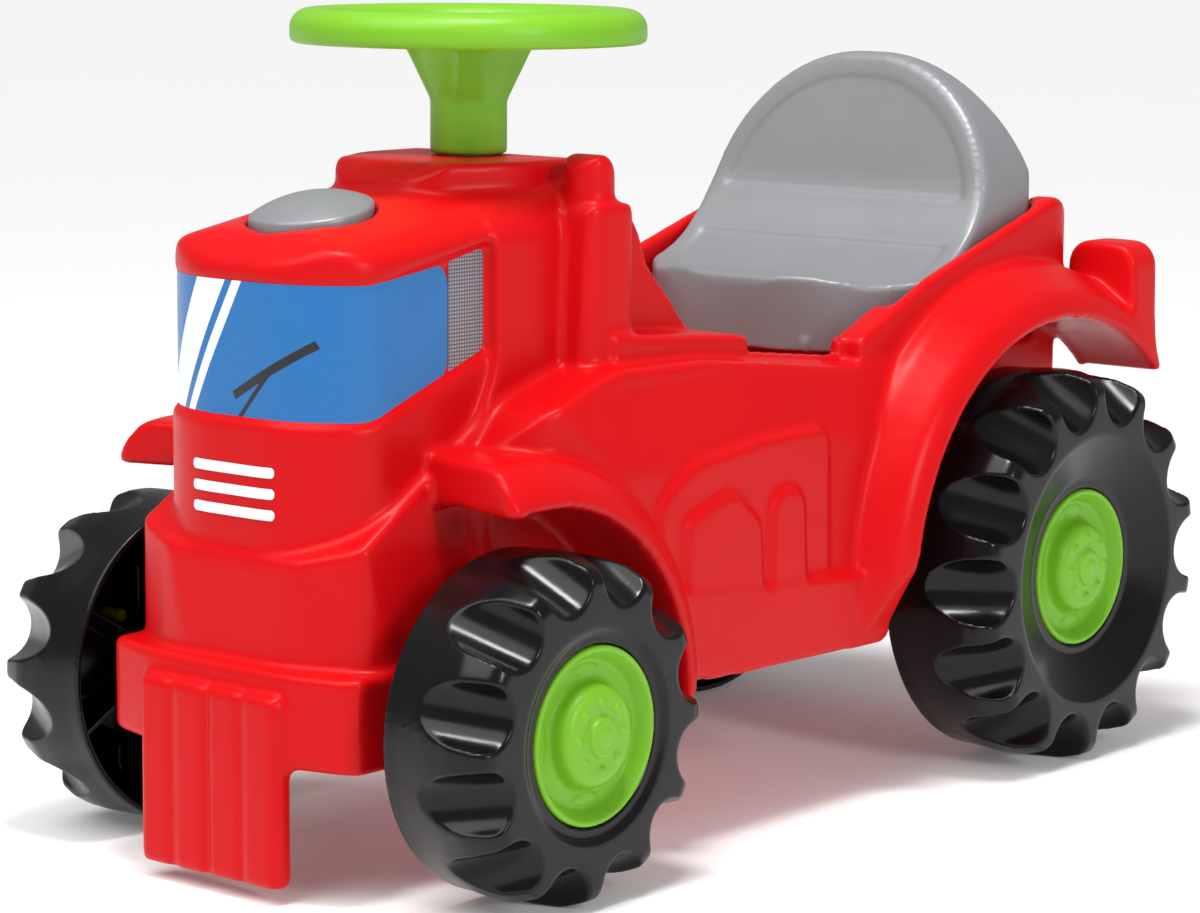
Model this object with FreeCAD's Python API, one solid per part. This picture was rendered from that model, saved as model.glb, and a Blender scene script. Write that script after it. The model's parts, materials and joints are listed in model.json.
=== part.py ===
import FreeCAD, Part
import math
import os

V = FreeCAD.Vector
ORIGIN = V(0, 0, 0)
AXIS_X = V(1, 0, 0)
AXIS_Z = V(0, 0, 1)

# Driving dimensions, in millimetres. Front is -Y, the left side of the toy is +X, the floor is Z = 0.

# Overlap that joins two forms, small edge rounding, and a reach beyond the whole toy.
LAP = 1.0
EDGE_R = 4.0
FAR = 400.0

# Axles and wheels.
FRONT_TYRE_R = 75.0
REAR_TYRE_R = 95.8
FRONT_LUG_R = 69.4
REAR_LUG_R = 91.8
FRONT_VALLEY_R = 55.0
REAR_VALLEY_R = 71.0
FRONT_AXLE_Y = -192.0
WHEELBASE = 373.0
REAR_AXLE_Y = FRONT_AXLE_Y + WHEELBASE
AXLE_R = 5.0
AXLE_FIT = 0.05
FRONT_TYRE_IN_X = 92.0
FRONT_TYRE_OUT_X = 146.0
REAR_TYRE_IN_X = 89.5
REAR_TYRE_OUT_X = 149.4
FRONT_RIM_X = 144.2
REAR_RIM_X = 139.6
FRONT_LUGS = 12
REAR_LUGS = 14
FRONT_GAP_R = 15.0
REAR_GAP_R = 16.0
LUG_GAP_RUN = 36.0
DRUM_FLAT = 8.0
TREAD_RUN = 26.0
DRUM_BEND_R = 30.0
TREAD_BEND_R = 60.0
DRUM_TAPER = 1.5
GAP_LEAD = 11.0
SHOULDER_X = 16.0
SHOULDER_R = 9.0
SHOULDER_BEND_R = 24.0
FRONT_WALL_R = 46.0
REAR_WALL_R = 66.0
RIM_LAND = 4.5
TYRE_WALL = 3.0
TYRE_RIBS = 6
RIB_T = 2.4
RIB_BACK = 18.0
HUB_TUBE_R = 9.5
HUB_CAP_R = 38.2
HUB_CAP_FIT = 0.3
HUB_CAP_SEAT = 11.0
WASHER_R = 12.0
WASHER_T = 2.4
SIDE_PLAY = 0.3
NUT_R = 8.5
NUT_T = 4.0

# Hub cap.
CAP_WALL = 2.4
CAP_LIP = 2.2
CAP_LIP_H = 0.8
CAP_SLOPE = 4.5
CAP_DISH = 6.0
BOSS_R = 22.0
BOSS_H = 9.5
BOSS_ROUND = 5.0
BOSS_DRAFT = 1.0
BOSS_FOOT_R = 3.0
CAP_LIP_R = 0.8
CAP_DISH_R = 2.0
BOLT_R = 1.9
BOLT_H = 1.2
BOLT_RING_R = 14.5
BOLTS = 8
CENTRE_R = 8.5
CENTRE_H = 2.2
HEX_R = 3.6
HEX_H = 0.8
LEAF_R = 27.6
LEAF_H = 0.7
LEAF_L = 16.0
LEAF_W = 5.0
LEAVES = 4
PEG_R = 3.0
PEG_L = 9.0
PEG_RING_R = 27.0

# Body shell: heights.
BODY_WALL = 3.0
BELLY_Z = 58.0
FLOOR_Z = 70.0
BONNET_SLOPE = 0.17
SKIRT_Z = 75.0
SKIRT_TOP_Z = 112.0
BUMPER_TOP_Z = 99.0
CHIN_LINE_Z = 144.0
CHIN_RISE = 27.0
BROW_RISE = 13.0
CHIN_Z = 200.0
BROW_Z = 261.0
BONNET_FRONT_Z = 277.0
BONNET_Z = 294.0
DECK_Z = 305.0
HIP_Z = 216.0
SILL_Z = 226.0
FOOTWELL_Z = 188.0
SURROUND_Z = 273.0
TUB_FLOOR_Z = 128.0
WEIGHTS_Z = 7.0
WEIGHTS_TOP_Z = 89.0

# Body shell: half widths.
NOSE_HALF = 57.0
NOSE_STEP = 3.0
CAB_HALF = 64.5
LOWER_NOSE_HALF = 71.0
BUMPER_HALF = 78.0
WEIGHTS_HALF = 42.0
DECK_HALF = 50.0
SILL_HALF = 85.0
HIP_HALF = 97.0
SIDE_HALF = 106.0
PANEL_HALF = 109.0
SKIRT_HALF = 112.5
FRONT_FENDER_HALF = 121.0
REAR_FENDER_HALF = 130.0
FRONT_WELL_HALF = 74.0
REAR_WELL_HALF = 84.0
SURROUND_HALF = 97.0

# Body shell: places along the length.
WEIGHTS_FRONT_Y = -277.0
WEIGHTS_BACK_Y = -266.0
BUMPER_FRONT_Y = -271.0
LOWER_NOSE_FRONT_Y = -264.0
NOSE_FRONT_Y = -256.5
GROOVE_Y = -163.0
CHIN_BEND_Y = -234.5
BROW_BEND_Y = -236.5
CHIN_REAR_Y = -159.0
DECK_FRONT_Y = -172.0
DECK_REAR_Y = -88.0
DASH_FOOT_Y = -18.0
SIDE_REAR_Y = 95.0
SURROUND_REAR_Y = 240.0
REAR_END_Y = 268.0

# Nose and windscreen band.
NOSE_FLAT_HALF = 30.0
NOSE_FRONT_R = 60.0
NOSE_BOW = 19.0
NOSE_CORNER_R = 26.0
BAND_BEND_R = 30.0
CHIN_TAIL = 40.0
BROW_LAP = 1.5
BROW_LIP = 1.0
BROW_H = 6.0
BROW_EDGE_R = 2.0
BROW_R = 5.0

# Bonnet.
BONNET_NOSE_RUN = 17.0
BONNET_NOSE_R = 18.0
BONNET_CROWN = 3.0
BONNET_BEND_RUN = 10.0
BONNET_BEND_R = 40.0
BONNET_TAIL = 18.0
BONNET_TAIL_RISE = 2.0
BONNET_TAIL_DROP = 14.0
BONNET_TAIL_R = 14.0
BONNET_FLAT_HALF = 22.5
BONNET_FLAT_R = 60.0
BONNET_SHOULDER_HALF = 54.5
BONNET_SHOULDER_DROP = 6.5
BONNET_SHOULDER_R = 28.0
BONNET_EDGE_DROP = 19.0
BONNET_EDGE_R = 10.0

# Lower nose, cab sides and dash.
LOWER_NOSE_R = 40.0
LOWER_NOSE_FLAT_HALF = 32.0
LOWER_NOSE_FRONT_R = 70.0
LOWER_NOSE_BOW = 16.0
LOWER_NOSE_CORNER_R = 18.0
LOWER_NOSE_FLARE = 2.0
LOWER_NOSE_FLARE_R = 30.0
BELLY_EDGE_R = 6.0
CHIN_LINE_OUT = 5.0
CHIN_LINE_R = 2.0
CHIN_RAMP_RUN = 12.0
CHIN_RAMP_RISE = 10.0
CHIN_RAMP_R = 24.0
CHEEK_RUN = 12.0
CHEEK_DROP = 4.0
CHEEK_R = 30.0
GROOVE_RISE = 20.0
GROOVE_R = 40.0
CAB_TOP_DROP = 8.0
CAB_ROOF_HALF = 30.5
CAB_ROOF_RISE = 2.0
CAB_ROOF_R = 30.0
CAB_EDGE_DROP = 14.0
CAB_EDGE_R = 14.0
CAB_BEND_R = 60.0
CAB_FLARE = 3.0
CAB_FLARE_DROP = 26.0
CAB_FLARE_R = 40.0
CAB_TAIL = 30.0
DASH_TOP_RUN = 14.0
DASH_TOP_R = 12.0
DASH_FACE_RUN = 26.0
DASH_FACE_DROP = 38.0
DASH_FACE_R = 20.0
DASH_KNEE_RUN = 44.0
DASH_KNEE_DROP = 56.0
DASH_KNEE_R = 30.0
DASH_FOOT_DROP = 8.0
FLOOR_FRONT_RUN = 32.0
FLOOR_BEND_R = 20.0

# Deck under the steering wheel.
DECK_DRAFT = 8.0
DECK_FRONT_RISE = 3.0
DECK_RAMP = 12.0
DECK_RAMP_R = 8.0
DECK_REAR_R = 10.0
DECK_FLAT_HALF = 28.0
DECK_FRONT_R = 24.0
DECK_TAPER = 42.0
DECK_SIDE_R = 40.0
DECK_CORNER_R = 14.0

# Bumper and weights.
BUMPER_DEPTH = 46.0
BUMPER_FLAT_HALF = 40.0
BUMPER_FRONT_R = 90.0
BUMPER_BOW = 10.0
BUMPER_CORNER_R = 18.0
BUMPER_END_R = 8.0
WEIGHTS = 4
WEIGHTS_GAP = 3.2
WEIGHTS_RIB_H = 2.5
WEIGHTS_RIB_R = 2.0
WEIGHTS_RIB_RISE = 4.0
WEIGHTS_CORNER_R = 3.0

# Hips and sills.
HIP_LAP = 4.0
HIP_FRONT_RUN = 6.0
HIP_FRONT_DROP = 36.0
HIP_FRONT_R = 10.0
HIP_SLOPE_RUN = 26.0
HIP_SLOPE_DROP = 13.0
HIP_SLOPE_R = 24.0
HIP_CREST_RUN = 70.0
HIP_CREST_RISE = 1.0
HIP_CREST_R = 60.0
HIP_BEND_RUN = 40.0
HIP_TAIL_RUN = 50.0
HIP_TAIL_DROP = 12.0
HIP_TAIL_R = 30.0
HIP_END_RUN = 20.0
HIP_FLOOR_RUN = 60.0
HIP_TOP_RISE = 10.0
HIP_EDGE_DROP = 8.0
HIP_EDGE_R = 20.0
HIP_CORNER_IN = 10.0
HIP_CORNER_RUN = 24.0
HIP_CORNER_R = 26.0
HIP_SIDE_RUN = 80.0
HIP_SIDE_TAIL = 30.0
SIDE_BEND_RISE = 60.0
SIDE_BEND_R = 50.0
SIDE_FLARE = 2.0
SIDE_LOW_R = 10.0
SIDE_FOOT_RISE = 4.0
SIDE_FOOT_R = 6.0
SIDE_TUCK = 14.0
SILL_T = 5.0
SILL_LEAD = 20.0
SILL_DEPTH = 40.0
SILL_RISE = 4.0
SILL_FALL = 10.0
SILL_BEND_RUN = 35.0
SILL_BEND_R = 40.0

# Rear body and seat surround.
REAR_LAP = 40.0
REAR_DEPTH = 50.0
REAR_BULGE = 8.0
REAR_CORNER_R = 20.0
SURROUND_START_DROP = 11.0
SURROUND_BEND_RUN = 18.0
SURROUND_BEND_DROP = 33.0
SURROUND_BEND_R = 120.0
SURROUND_TOP_RUN = 20.0
SURROUND_TOP_R = 10.0
SURROUND_REAR_DROP = 12.0
SURROUND_EDGE_R = 6.0
SURROUND_CORNER_R = 22.0

# Engine cover, vents and skirt on each side.
PANEL_LAP = 20.0
PANEL_FOOT = 2.0
COVER_FRONT_Y = FRONT_AXLE_Y + 87.0
COVER_REAR_Y = COVER_FRONT_Y + 121.0
COVER_FRONT_H = 46.0
COVER_FRONT_R = 8.0
COVER_BEND_RUN = 23.0
COVER_BEND_H = 61.0
COVER_BEND_R = 30.0
COVER_CREST_RUN = 73.0
COVER_CREST_H = 67.0
COVER_CREST_R = 80.0
COVER_REAR_H = 68.0
COVER_REAR_R = 7.0
VENT_H = 3.0
VENT_DRAFT = 2.0
WIDE_VENT_Y = COVER_FRONT_Y + 15.0
WIDE_VENT_W = 54.0
WIDE_VENT_FRONT_H = 36.0
WIDE_VENT_FRONT_R = 5.0
WIDE_VENT_PEAK_RUN = 32.0
WIDE_VENT_PEAK_H = 46.0
WIDE_VENT_REAR_H = 30.0
WIDE_VENT_R = 12.0
NARROW_VENT_Y = COVER_FRONT_Y + 76.0
NARROW_VENT_W = 25.0
NARROW_VENT_H = 42.0
NARROW_VENT_R = 10.0
SKIRT_TIP_RISE = 6.0
SKIRT_KNEE_RUN = 12.0
SKIRT_KNEE_DROP = 26.0
SKIRT_KNEE_R = 20.0
SKIRT_TOE_RUN = 31.0
SKIRT_TOE_R = 10.0
SKIRT_HEEL_RUN = 38.0
SKIRT_HEEL_R = 12.0
SKIRT_END_RUN = 22.0
SKIRT_END_R = 6.0
SKIRT_TOP_RUN = 30.0
SKIRT_TOP_FALL = 4.0
SKIRT_CREST_RUN = 63.0

# Exhaust.
EXHAUST_BACK = 6.0
EXHAUST_OUT = 17.0
EXHAUST_HALF = 15.0
EXHAUST_DRAFT = 3.0
EXHAUST_FOOT = 14.0
EXHAUST_DROP = 18.0
EXHAUST_TOP_R = 5.0
EXHAUST_ROUND_R = 14.0
EXHAUST_LAP = 12.0
TIP_R = 11.0
TIP_IN = 3.0
TIP_FORWARD = 2.0
TIP_LAP = 6.0
TIP_FRONT_RISE = 1.0
TIP_FRONT_R = 9.0
TIP_PEAK_RUN = 1.0
TIP_PEAK_RISE = 4.0
TIP_REAR_DROP = 7.0

# Tail lights.
LIGHT_IN = 24.0
LIGHT_DROP = 24.0
LIGHT_H = 60.0
LIGHT_HALF = 19.5
LIGHT_DRAFT = 2.0
LIGHT_R = 12.0
LIGHT_DEPTH = 24.0
LIGHT_SET_BACK = 1.0

# Fenders.
FENDER_ROUND_R = 14.0
FENDER_LEAN = 4.0
FENDER_CORNER_R = 6.0
FRONT_FENDER_LAP = 6.0
FRONT_FENDER_LEAD = 24.0
FRONT_CROWN_IN = 14.0
REAR_FENDER_LAP = 4.0
REAR_CROWN_IN = 26.0
REAR_TAPER_R = 30.0
FRONT_ARCH_R = 92.0
FRONT_CROWN_R = 112.0
FRONT_FENDER_FROM = -24.0
FRONT_FENDER_TO = 92.0
REAR_ARCH_R = 121.0
REAR_CROWN_R = 147.0
REAR_FENDER_FROM = -100.0
REAR_FENDER_TO = 54.0
LIP_H = 3.0

# Steering.
STEER_Y = -111.0
STEER_RIM_R = 79.5
STEER_RIM_W = 21.0
STEER_BOTTOM_Z = 354.5
STEER_TOP_Z = 370.0
COLUMN_R = 17.2
COLUMN_BORE_R = 13.5
COLUMN_GAP = 0.6
COLUMN_ROOF_Z = 338.0
FLARE_R = 23.5
FLARE_Z = 330.0
SPOKE_W = 19.0
SPOKE_T = 9.0
SPOKES = 4
STEER_HUB_R = 25.0
STEER_HUB_Z = 366.0
STEER_BOSS_R = 9.0
ROD_TOP_Z = 352.0
SCREW_SEAT_Z = 356.0
GUSSET_R = 29.0
GUSSET_T = 12.0
RIM_UNDER_R = 3.0
RIM_TOP_R = 9.0
COLUMN_EDGE_R = 1.0
FLARE_BEND_R = 12.0
FLARE_TOP_R = 10.0
FLARE_LIP = 6.0
ROD_R = 5.0
ROD_FIT = 0.05
BUSH_R = 8.0
BUSH_FLANGE_R = 12.0
BUSH_FLANGE_T = 2.0
BUSH_L = 14.0
STEER_WASHER_T = 1.6
CAP_PLUG_R = 12.0
CAP_PLUG_T = 3.0
SCREW_HEAD_R = 4.5
SCREW_HEAD_T = 3.2
SCREW_R = 2.0
SCREW_L = 14.0
SCREW_SLOT_W = 1.8
SCREW_SLOT_H = 1.3
CAP_EDGE_R = 0.8
FLANGE_TOP_Z = DECK_Z + BUSH_FLANGE_T
BOSS_Z = FLANGE_TOP_Z + STEER_WASHER_T + SIDE_PLAY
LOWER_FLANGE_Z = FLOOR_Z - BUSH_FLANGE_T
STEER_NUT_Z = LOWER_FLANGE_Z - SIDE_PLAY - NUT_T

# Horn.
HORN_Y = -211.0
HORN_HALF_X = 28.0
HORN_HALF_Y = 26.0
HORN_Z = 287.0
HORN_DOME = 7.0
HORN_SKIRT = 12.0
HORN_WALL = 2.5
HORN_GAP = 0.6
HORN_POCKET = 24.0
HORN_BASE_T = 3.0
SQUEAKER_R = 15.0
SQUEAKER_FOLDS = 3
SQUEAKER_FOLD = 3.0
SQUEAKER_WALL = 1.2
SQUEAKER_EDGE_R = 0.8
HORN_POCKET_Z = HORN_Z - HORN_POCKET
SQUEAKER_TOP_Z = HORN_Z - SIDE_PLAY

# Seat.
SEAT_HALF = 88.0
SEAT_FRONT_Y = 80.0
SEAT_SIDE_Y = 126.0
SEAT_SIDE_R = 15.0
SEAT_FLAT_HALF = 44.0
SEAT_FRONT_R = 70.0
SEAT_CORNER_R = 26.0
SEAT_REAR_Y = 224.0
SEAT_Z = 240.0
SEAT_BACK_Z = 342.0
SEAT_BASE_Z = 202.0
SEAT_WALL = 4.0
SEAT_RECESS = 1.4
SEAT_LIP = 1.0
SEAT_LIP_R = 6.0
SEAT_DIP = 5.5
SEAT_DIP_RUN = 25.0
SEAT_DIP_R = 30.0
BACK_FOOT_RUN = 63.0
BACK_FOOT_R = 66.0
BACK_TOP_RUN = 37.0
BACK_REAR_RUN = 25.0
BACK_HIP_DROP = 11.0
BACK_HIP_R = 20.0
BACK_FLAT_HALF = 36.0
BACK_SHOULDER_HALF = 86.0
BACK_SHOULDER_DROP = 45.0
BACK_ARCH_R = 80.0
PANEL_EDGE = 11.0
BACK_PANEL_Z = 272.0
PAN_PANEL_REAR_Y = 152.0
SEAT_GAP = 1.5
HINGE_Y = 96.0
HINGE_Z = 208.0
HINGE_R = 4.0
HINGE_FIT = 0.08
HINGE_EYE_R = 8.0
HINGE_ROOM = 2.0
SWING_ROOM = 38.0
LUG_X = 26.0
LUG_W = 8.0
EYE_GAP = 0.6
EYE_W = 8.0
HINGE_ROD_HALF = 46.0
LUG_POST_T = 4.5
TUB_HALF = 58.0
TUB_FRONT_Y = 112.0
TUB_REAR_Y = 206.0
TUB_R = 14.0

# Stickers.
STICKER_T = 0.4
STICKER_GAP = 0.2
STICKER_EDGE = 1.5
SCREEN_REAR_Y = -188.0
SCREEN_CORNER_R = 10.0
MESH_GAP = 0.6
MESH_REAR_Y = -164.5
LOUVRES = 3
LOUVRE_HALF = 24.0
LOUVRE_H = 4.5
LOUVRE_PITCH = 9.0
LOUVRE_Z = 160.0
LOUVRE_R = 2.0


# Outlines are lists of corners (u, v, radius); each corner is rounded by a tangent arc.

def mirrored(half):
    """Whole outline from its right half, listed from one end of the middle line to the other."""
    return [(-u, v, r) for u, v, r in reversed(half)] + half


def inset_outline(corners, inset):
    """The same outline moved inwards, as the inside of a wall."""
    count = len(corners)
    twice_area = 0.0
    for i, (u, v, r) in enumerate(corners):
        after = corners[(i + 1) % count]
        twice_area += u * after[1] - after[0] * v
    turn = 1.0 if twice_area > 0 else -1.0
    moved = []
    for i, (u, v, r) in enumerate(corners):
        before = corners[i - 1]
        after = corners[(i + 1) % count]
        first = unit(u - before[0], v - before[1])
        second = unit(after[0] - u, after[1] - v)
        cosine = first[0] * second[0] + first[1] * second[1]
        sine = first[0] * second[1] - first[1] * second[0]
        share = turn * inset / (1.0 + cosine)
        bend = r - inset if sine * turn > 0 else r + inset
        moved.append((u - share * (first[1] + second[1]), v + share * (first[0] + second[0]), max(bend, 0.0)))
    return moved


def unit(u, v):
    length = math.hypot(u, v)
    return u / length, v / length


def outline_face(corners, place):
    """Flat face of an outline; place turns (u, v) into a point in space."""
    count = len(corners)
    starts = []
    ends = []
    middles = []
    for i, (u, v, r) in enumerate(corners):
        back = unit(corners[i - 1][0] - u, corners[i - 1][1] - v)
        after = corners[(i + 1) % count]
        ahead = unit(after[0] - u, after[1] - v)
        half_angle = 0.5 * math.acos(max(-1.0, min(1.0, back[0] * ahead[0] + back[1] * ahead[1])))
        run = r / math.tan(half_angle)
        starts.append(place(u + back[0] * run, v + back[1] * run))
        ends.append(place(u + ahead[0] * run, v + ahead[1] * run))
        middle = unit(back[0] + ahead[0], back[1] + ahead[1])
        reach = r / math.sin(half_angle) - r
        middles.append(place(u + middle[0] * reach, v + middle[1] * reach))
    edges = []
    for i in range(count):
        if corners[i][2] > 0:
            edges.append(Part.Arc(starts[i], middles[i], ends[i]).toShape())
        nearest = starts[(i + 1) % count]
        if (nearest - ends[i]).Length > 1e-6:
            edges.append(Part.LineSegment(ends[i], nearest).toShape())
    return Part.Face(Part.Wire(edges))


def plan_prism(corners, z0, z1):
    return outline_face(corners, lambda u, v: V(u, v, z0)).extrude(V(0, 0, z1 - z0))


def side_prism(corners, x0, x1):
    return outline_face(corners, lambda u, v: V(x0, u, v)).extrude(V(x1 - x0, 0, 0))


def front_prism(corners, y0, y1):
    return outline_face(corners, lambda u, v: V(u, y0, v)).extrude(V(0, y1 - y0, 0))


def round_x(x0, x1, y, z, r):
    return Part.makeCylinder(r, x1 - x0, V(x0, y, z), AXIS_X)


def round_z(x, y, z0, z1, r):
    return Part.makeCylinder(r, z1 - z0, V(x, y, z0), AXIS_Z)


def tube_x(x0, x1, y, z, r, bore):
    return round_x(x0, x1, y, z, r).cut(round_x(x0, x1, y, z, bore))


def tube_z(x, y, z0, z1, r, bore):
    return round_z(x, y, z0, z1, r).cut(round_z(x, y, z0, z1, bore))


def box(x0, x1, y0, y1, z0, z1):
    return Part.makeBox(x1 - x0, y1 - y0, z1 - z0, V(x0, y0, z0))


def both_sides(left):
    return [left, left.mirror(ORIGIN, AXIS_X)]


def joined(shapes):
    return shapes[0].fuse(shapes[1:]).removeSplitter() if len(shapes) > 1 else shapes[0]


def meet(shapes):
    result = shapes[0]
    for shape in shapes[1:]:
        result = result.common(shape)
    return result


# Body shell. Each block takes an inset, so that the same outlines give the outside and the hollow.

def nose_plan(grow):
    half = [
        (NOSE_FLAT_HALF, NOSE_FRONT_Y, NOSE_FRONT_R),
        (NOSE_HALF, NOSE_FRONT_Y + NOSE_BOW, NOSE_CORNER_R),
        (NOSE_HALF, DECK_REAR_Y, 0.0),
    ]
    return inset_outline(mirrored(half), -grow)


def nose_block(inset):
    """Upright nose that carries the windscreen band; its top follows the brow."""
    side = [
        (NOSE_FRONT_Y - FAR, BUMPER_TOP_Z, 0.0),
        (NOSE_FRONT_Y - FAR, BROW_Z + BROW_LAP, 0.0),
        (BROW_BEND_Y, BROW_Z + BROW_LAP, 0.0),
        (GROOVE_Y, BROW_Z + BROW_RISE + BROW_LAP, 0.0),
        (DECK_REAR_Y, BROW_Z + BROW_RISE + BROW_LAP, 0.0),
        (DECK_REAR_Y, BUMPER_TOP_Z, 0.0),
    ]
    return plan_prism(nose_plan(-inset), BUMPER_TOP_Z, FAR).common(
        side_prism(inset_outline(side, inset), -FAR, FAR))


def chin_block(inset):
    """Wider front below the windscreen; its top edge rises towards the back."""
    side = [
        (NOSE_FRONT_Y - FAR, BUMPER_TOP_Z, 0.0),
        (NOSE_FRONT_Y - FAR, CHIN_Z, 0.0),
        (CHIN_BEND_Y, CHIN_Z, BAND_BEND_R),
        (CHIN_REAR_Y, CHIN_Z + CHIN_RISE, 0.0),
        (GROOVE_Y + CHIN_TAIL, CHIN_Z + CHIN_RISE, 0.0),
        (GROOVE_Y + CHIN_TAIL, BUMPER_TOP_Z, 0.0),
    ]
    return plan_prism(nose_plan(NOSE_STEP - inset), BUMPER_TOP_Z, BROW_Z).common(
        side_prism(inset_outline(side, inset), -FAR, FAR))


def bonnet_block(inset):
    """Bonnet with the brow over the windscreen, rounded along its sloping top edges."""
    side = [
        (NOSE_FRONT_Y - 2.0 * BROW_LIP, BROW_Z, BROW_EDGE_R),
        (NOSE_FRONT_Y - BROW_LIP, BROW_Z + BROW_H, BROW_R),
        (NOSE_FRONT_Y + BONNET_NOSE_RUN, BONNET_FRONT_Z + BONNET_CROWN, BONNET_NOSE_R),
        (DECK_FRONT_Y + BONNET_BEND_RUN, BONNET_Z, BONNET_BEND_R),
        (DECK_REAR_Y, BONNET_Z + BONNET_TAIL_RISE, BONNET_TAIL_R),
        (DECK_REAR_Y + BONNET_TAIL, BONNET_Z - BONNET_TAIL_DROP, EDGE_R),
        (DECK_REAR_Y + BONNET_TAIL, BROW_Z + BROW_RISE, 0.0),
        (GROOVE_Y, BROW_Z + BROW_RISE, 0.0),
        (BROW_BEND_Y, BROW_Z, BAND_BEND_R),
    ]
    front = mirrored([
        (BONNET_FLAT_HALF, BONNET_FRONT_Z + BROW_LIP, BONNET_FLAT_R),
        (BONNET_SHOULDER_HALF, BONNET_FRONT_Z - BONNET_SHOULDER_DROP, BONNET_SHOULDER_R),
        (CAB_HALF - BROW_LIP, BONNET_FRONT_Z - BONNET_EDGE_DROP, BONNET_EDGE_R),
        (CAB_HALF - BROW_LIP, BELLY_Z - FAR, 0.0),
    ])
    plan = mirrored([
        (NOSE_FLAT_HALF, NOSE_FRONT_Y - BROW_LIP, NOSE_FRONT_R),
        (NOSE_HALF + BROW_LIP, NOSE_FRONT_Y + NOSE_BOW - BROW_LIP, NOSE_CORNER_R),
        (CAB_HALF, GROOVE_Y, CAB_BEND_R),
        (CAB_HALF, DECK_REAR_Y + CAB_TAIL, 0.0),
    ])
    rounded = outline_face(inset_outline(front, inset), lambda u, v: V(u, NOSE_FRONT_Y, v))
    length = DECK_REAR_Y - inset - NOSE_FRONT_Y
    lead = FAR * BONNET_SLOPE
    rounded.translate(V(0, -FAR, -lead))
    return meet([
        rounded.extrude(V(0, FAR + length, (FAR + length) * BONNET_SLOPE)),
        plan_prism(inset_outline(plan, inset), BELLY_Z, FAR),
        side_prism(inset_outline(side, inset), -FAR, FAR),
    ])


def shell_block(inset):
    """Lower nose and cab sides, which stand proud of the chin, and the slope behind the deck."""
    side = [
        (LOWER_NOSE_FRONT_Y, BELLY_Z, 0.0),
        (LOWER_NOSE_FRONT_Y, BUMPER_TOP_Z, LOWER_NOSE_R),
        (NOSE_FRONT_Y - CHIN_LINE_OUT, CHIN_LINE_Z, CHIN_LINE_R),
        (NOSE_FRONT_Y + CHIN_RAMP_RUN, CHIN_LINE_Z + CHIN_RAMP_RISE, CHIN_RAMP_R),
        (GROOVE_Y - CHEEK_RUN, CHIN_Z - CHEEK_DROP, CHEEK_R),
        (GROOVE_Y, CHIN_Z + GROOVE_RISE, GROOVE_R),
        (GROOVE_Y, BONNET_Z - CAB_TOP_DROP, 0.0),
        (DECK_REAR_Y + DASH_TOP_RUN, BONNET_Z - CAB_TOP_DROP, DASH_TOP_R),
        (DECK_REAR_Y + DASH_FACE_RUN, BONNET_Z - DASH_FACE_DROP, DASH_FACE_R),
        (DECK_REAR_Y + DASH_KNEE_RUN, BONNET_Z - DASH_KNEE_DROP, DASH_KNEE_R),
        (DASH_FOOT_Y, HIP_Z - DASH_FOOT_DROP, EDGE_R),
        (DASH_FOOT_Y, FLOOR_Z, 0.0),
        (FRONT_AXLE_Y + FLOOR_FRONT_RUN, FLOOR_Z, FLOOR_BEND_R),
        (BUMPER_FRONT_Y + BUMPER_DEPTH, BELLY_Z, FLOOR_BEND_R),
    ]
    front = mirrored([
        (CAB_ROOF_HALF, BONNET_Z + CAB_ROOF_RISE, CAB_ROOF_R),
        (CAB_HALF, BONNET_Z - CAB_EDGE_DROP, CAB_EDGE_R),
        (CAB_HALF, CHIN_Z - CAB_FLARE_DROP, CAB_BEND_R),
        (CAB_HALF + CAB_FLARE, CHIN_LINE_Z, CAB_FLARE_R),
        (LOWER_NOSE_HALF + LOWER_NOSE_FLARE, BUMPER_TOP_Z, LOWER_NOSE_FLARE_R),
        (LOWER_NOSE_HALF + LOWER_NOSE_FLARE, BELLY_Z, BELLY_EDGE_R),
    ])
    plan = mirrored([
        (LOWER_NOSE_FLAT_HALF, LOWER_NOSE_FRONT_Y, LOWER_NOSE_FRONT_R),
        (LOWER_NOSE_HALF, LOWER_NOSE_FRONT_Y + LOWER_NOSE_BOW, LOWER_NOSE_CORNER_R),
        (LOWER_NOSE_HALF, DASH_FOOT_Y, 0.0),
    ])
    return meet([
        side_prism(inset_outline(side, inset), -FAR, FAR),
        front_prism(inset_outline(front, inset), -FAR, FAR),
        plan_prism(inset_outline(plan, inset), BELLY_Z, FAR),
    ])


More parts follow.
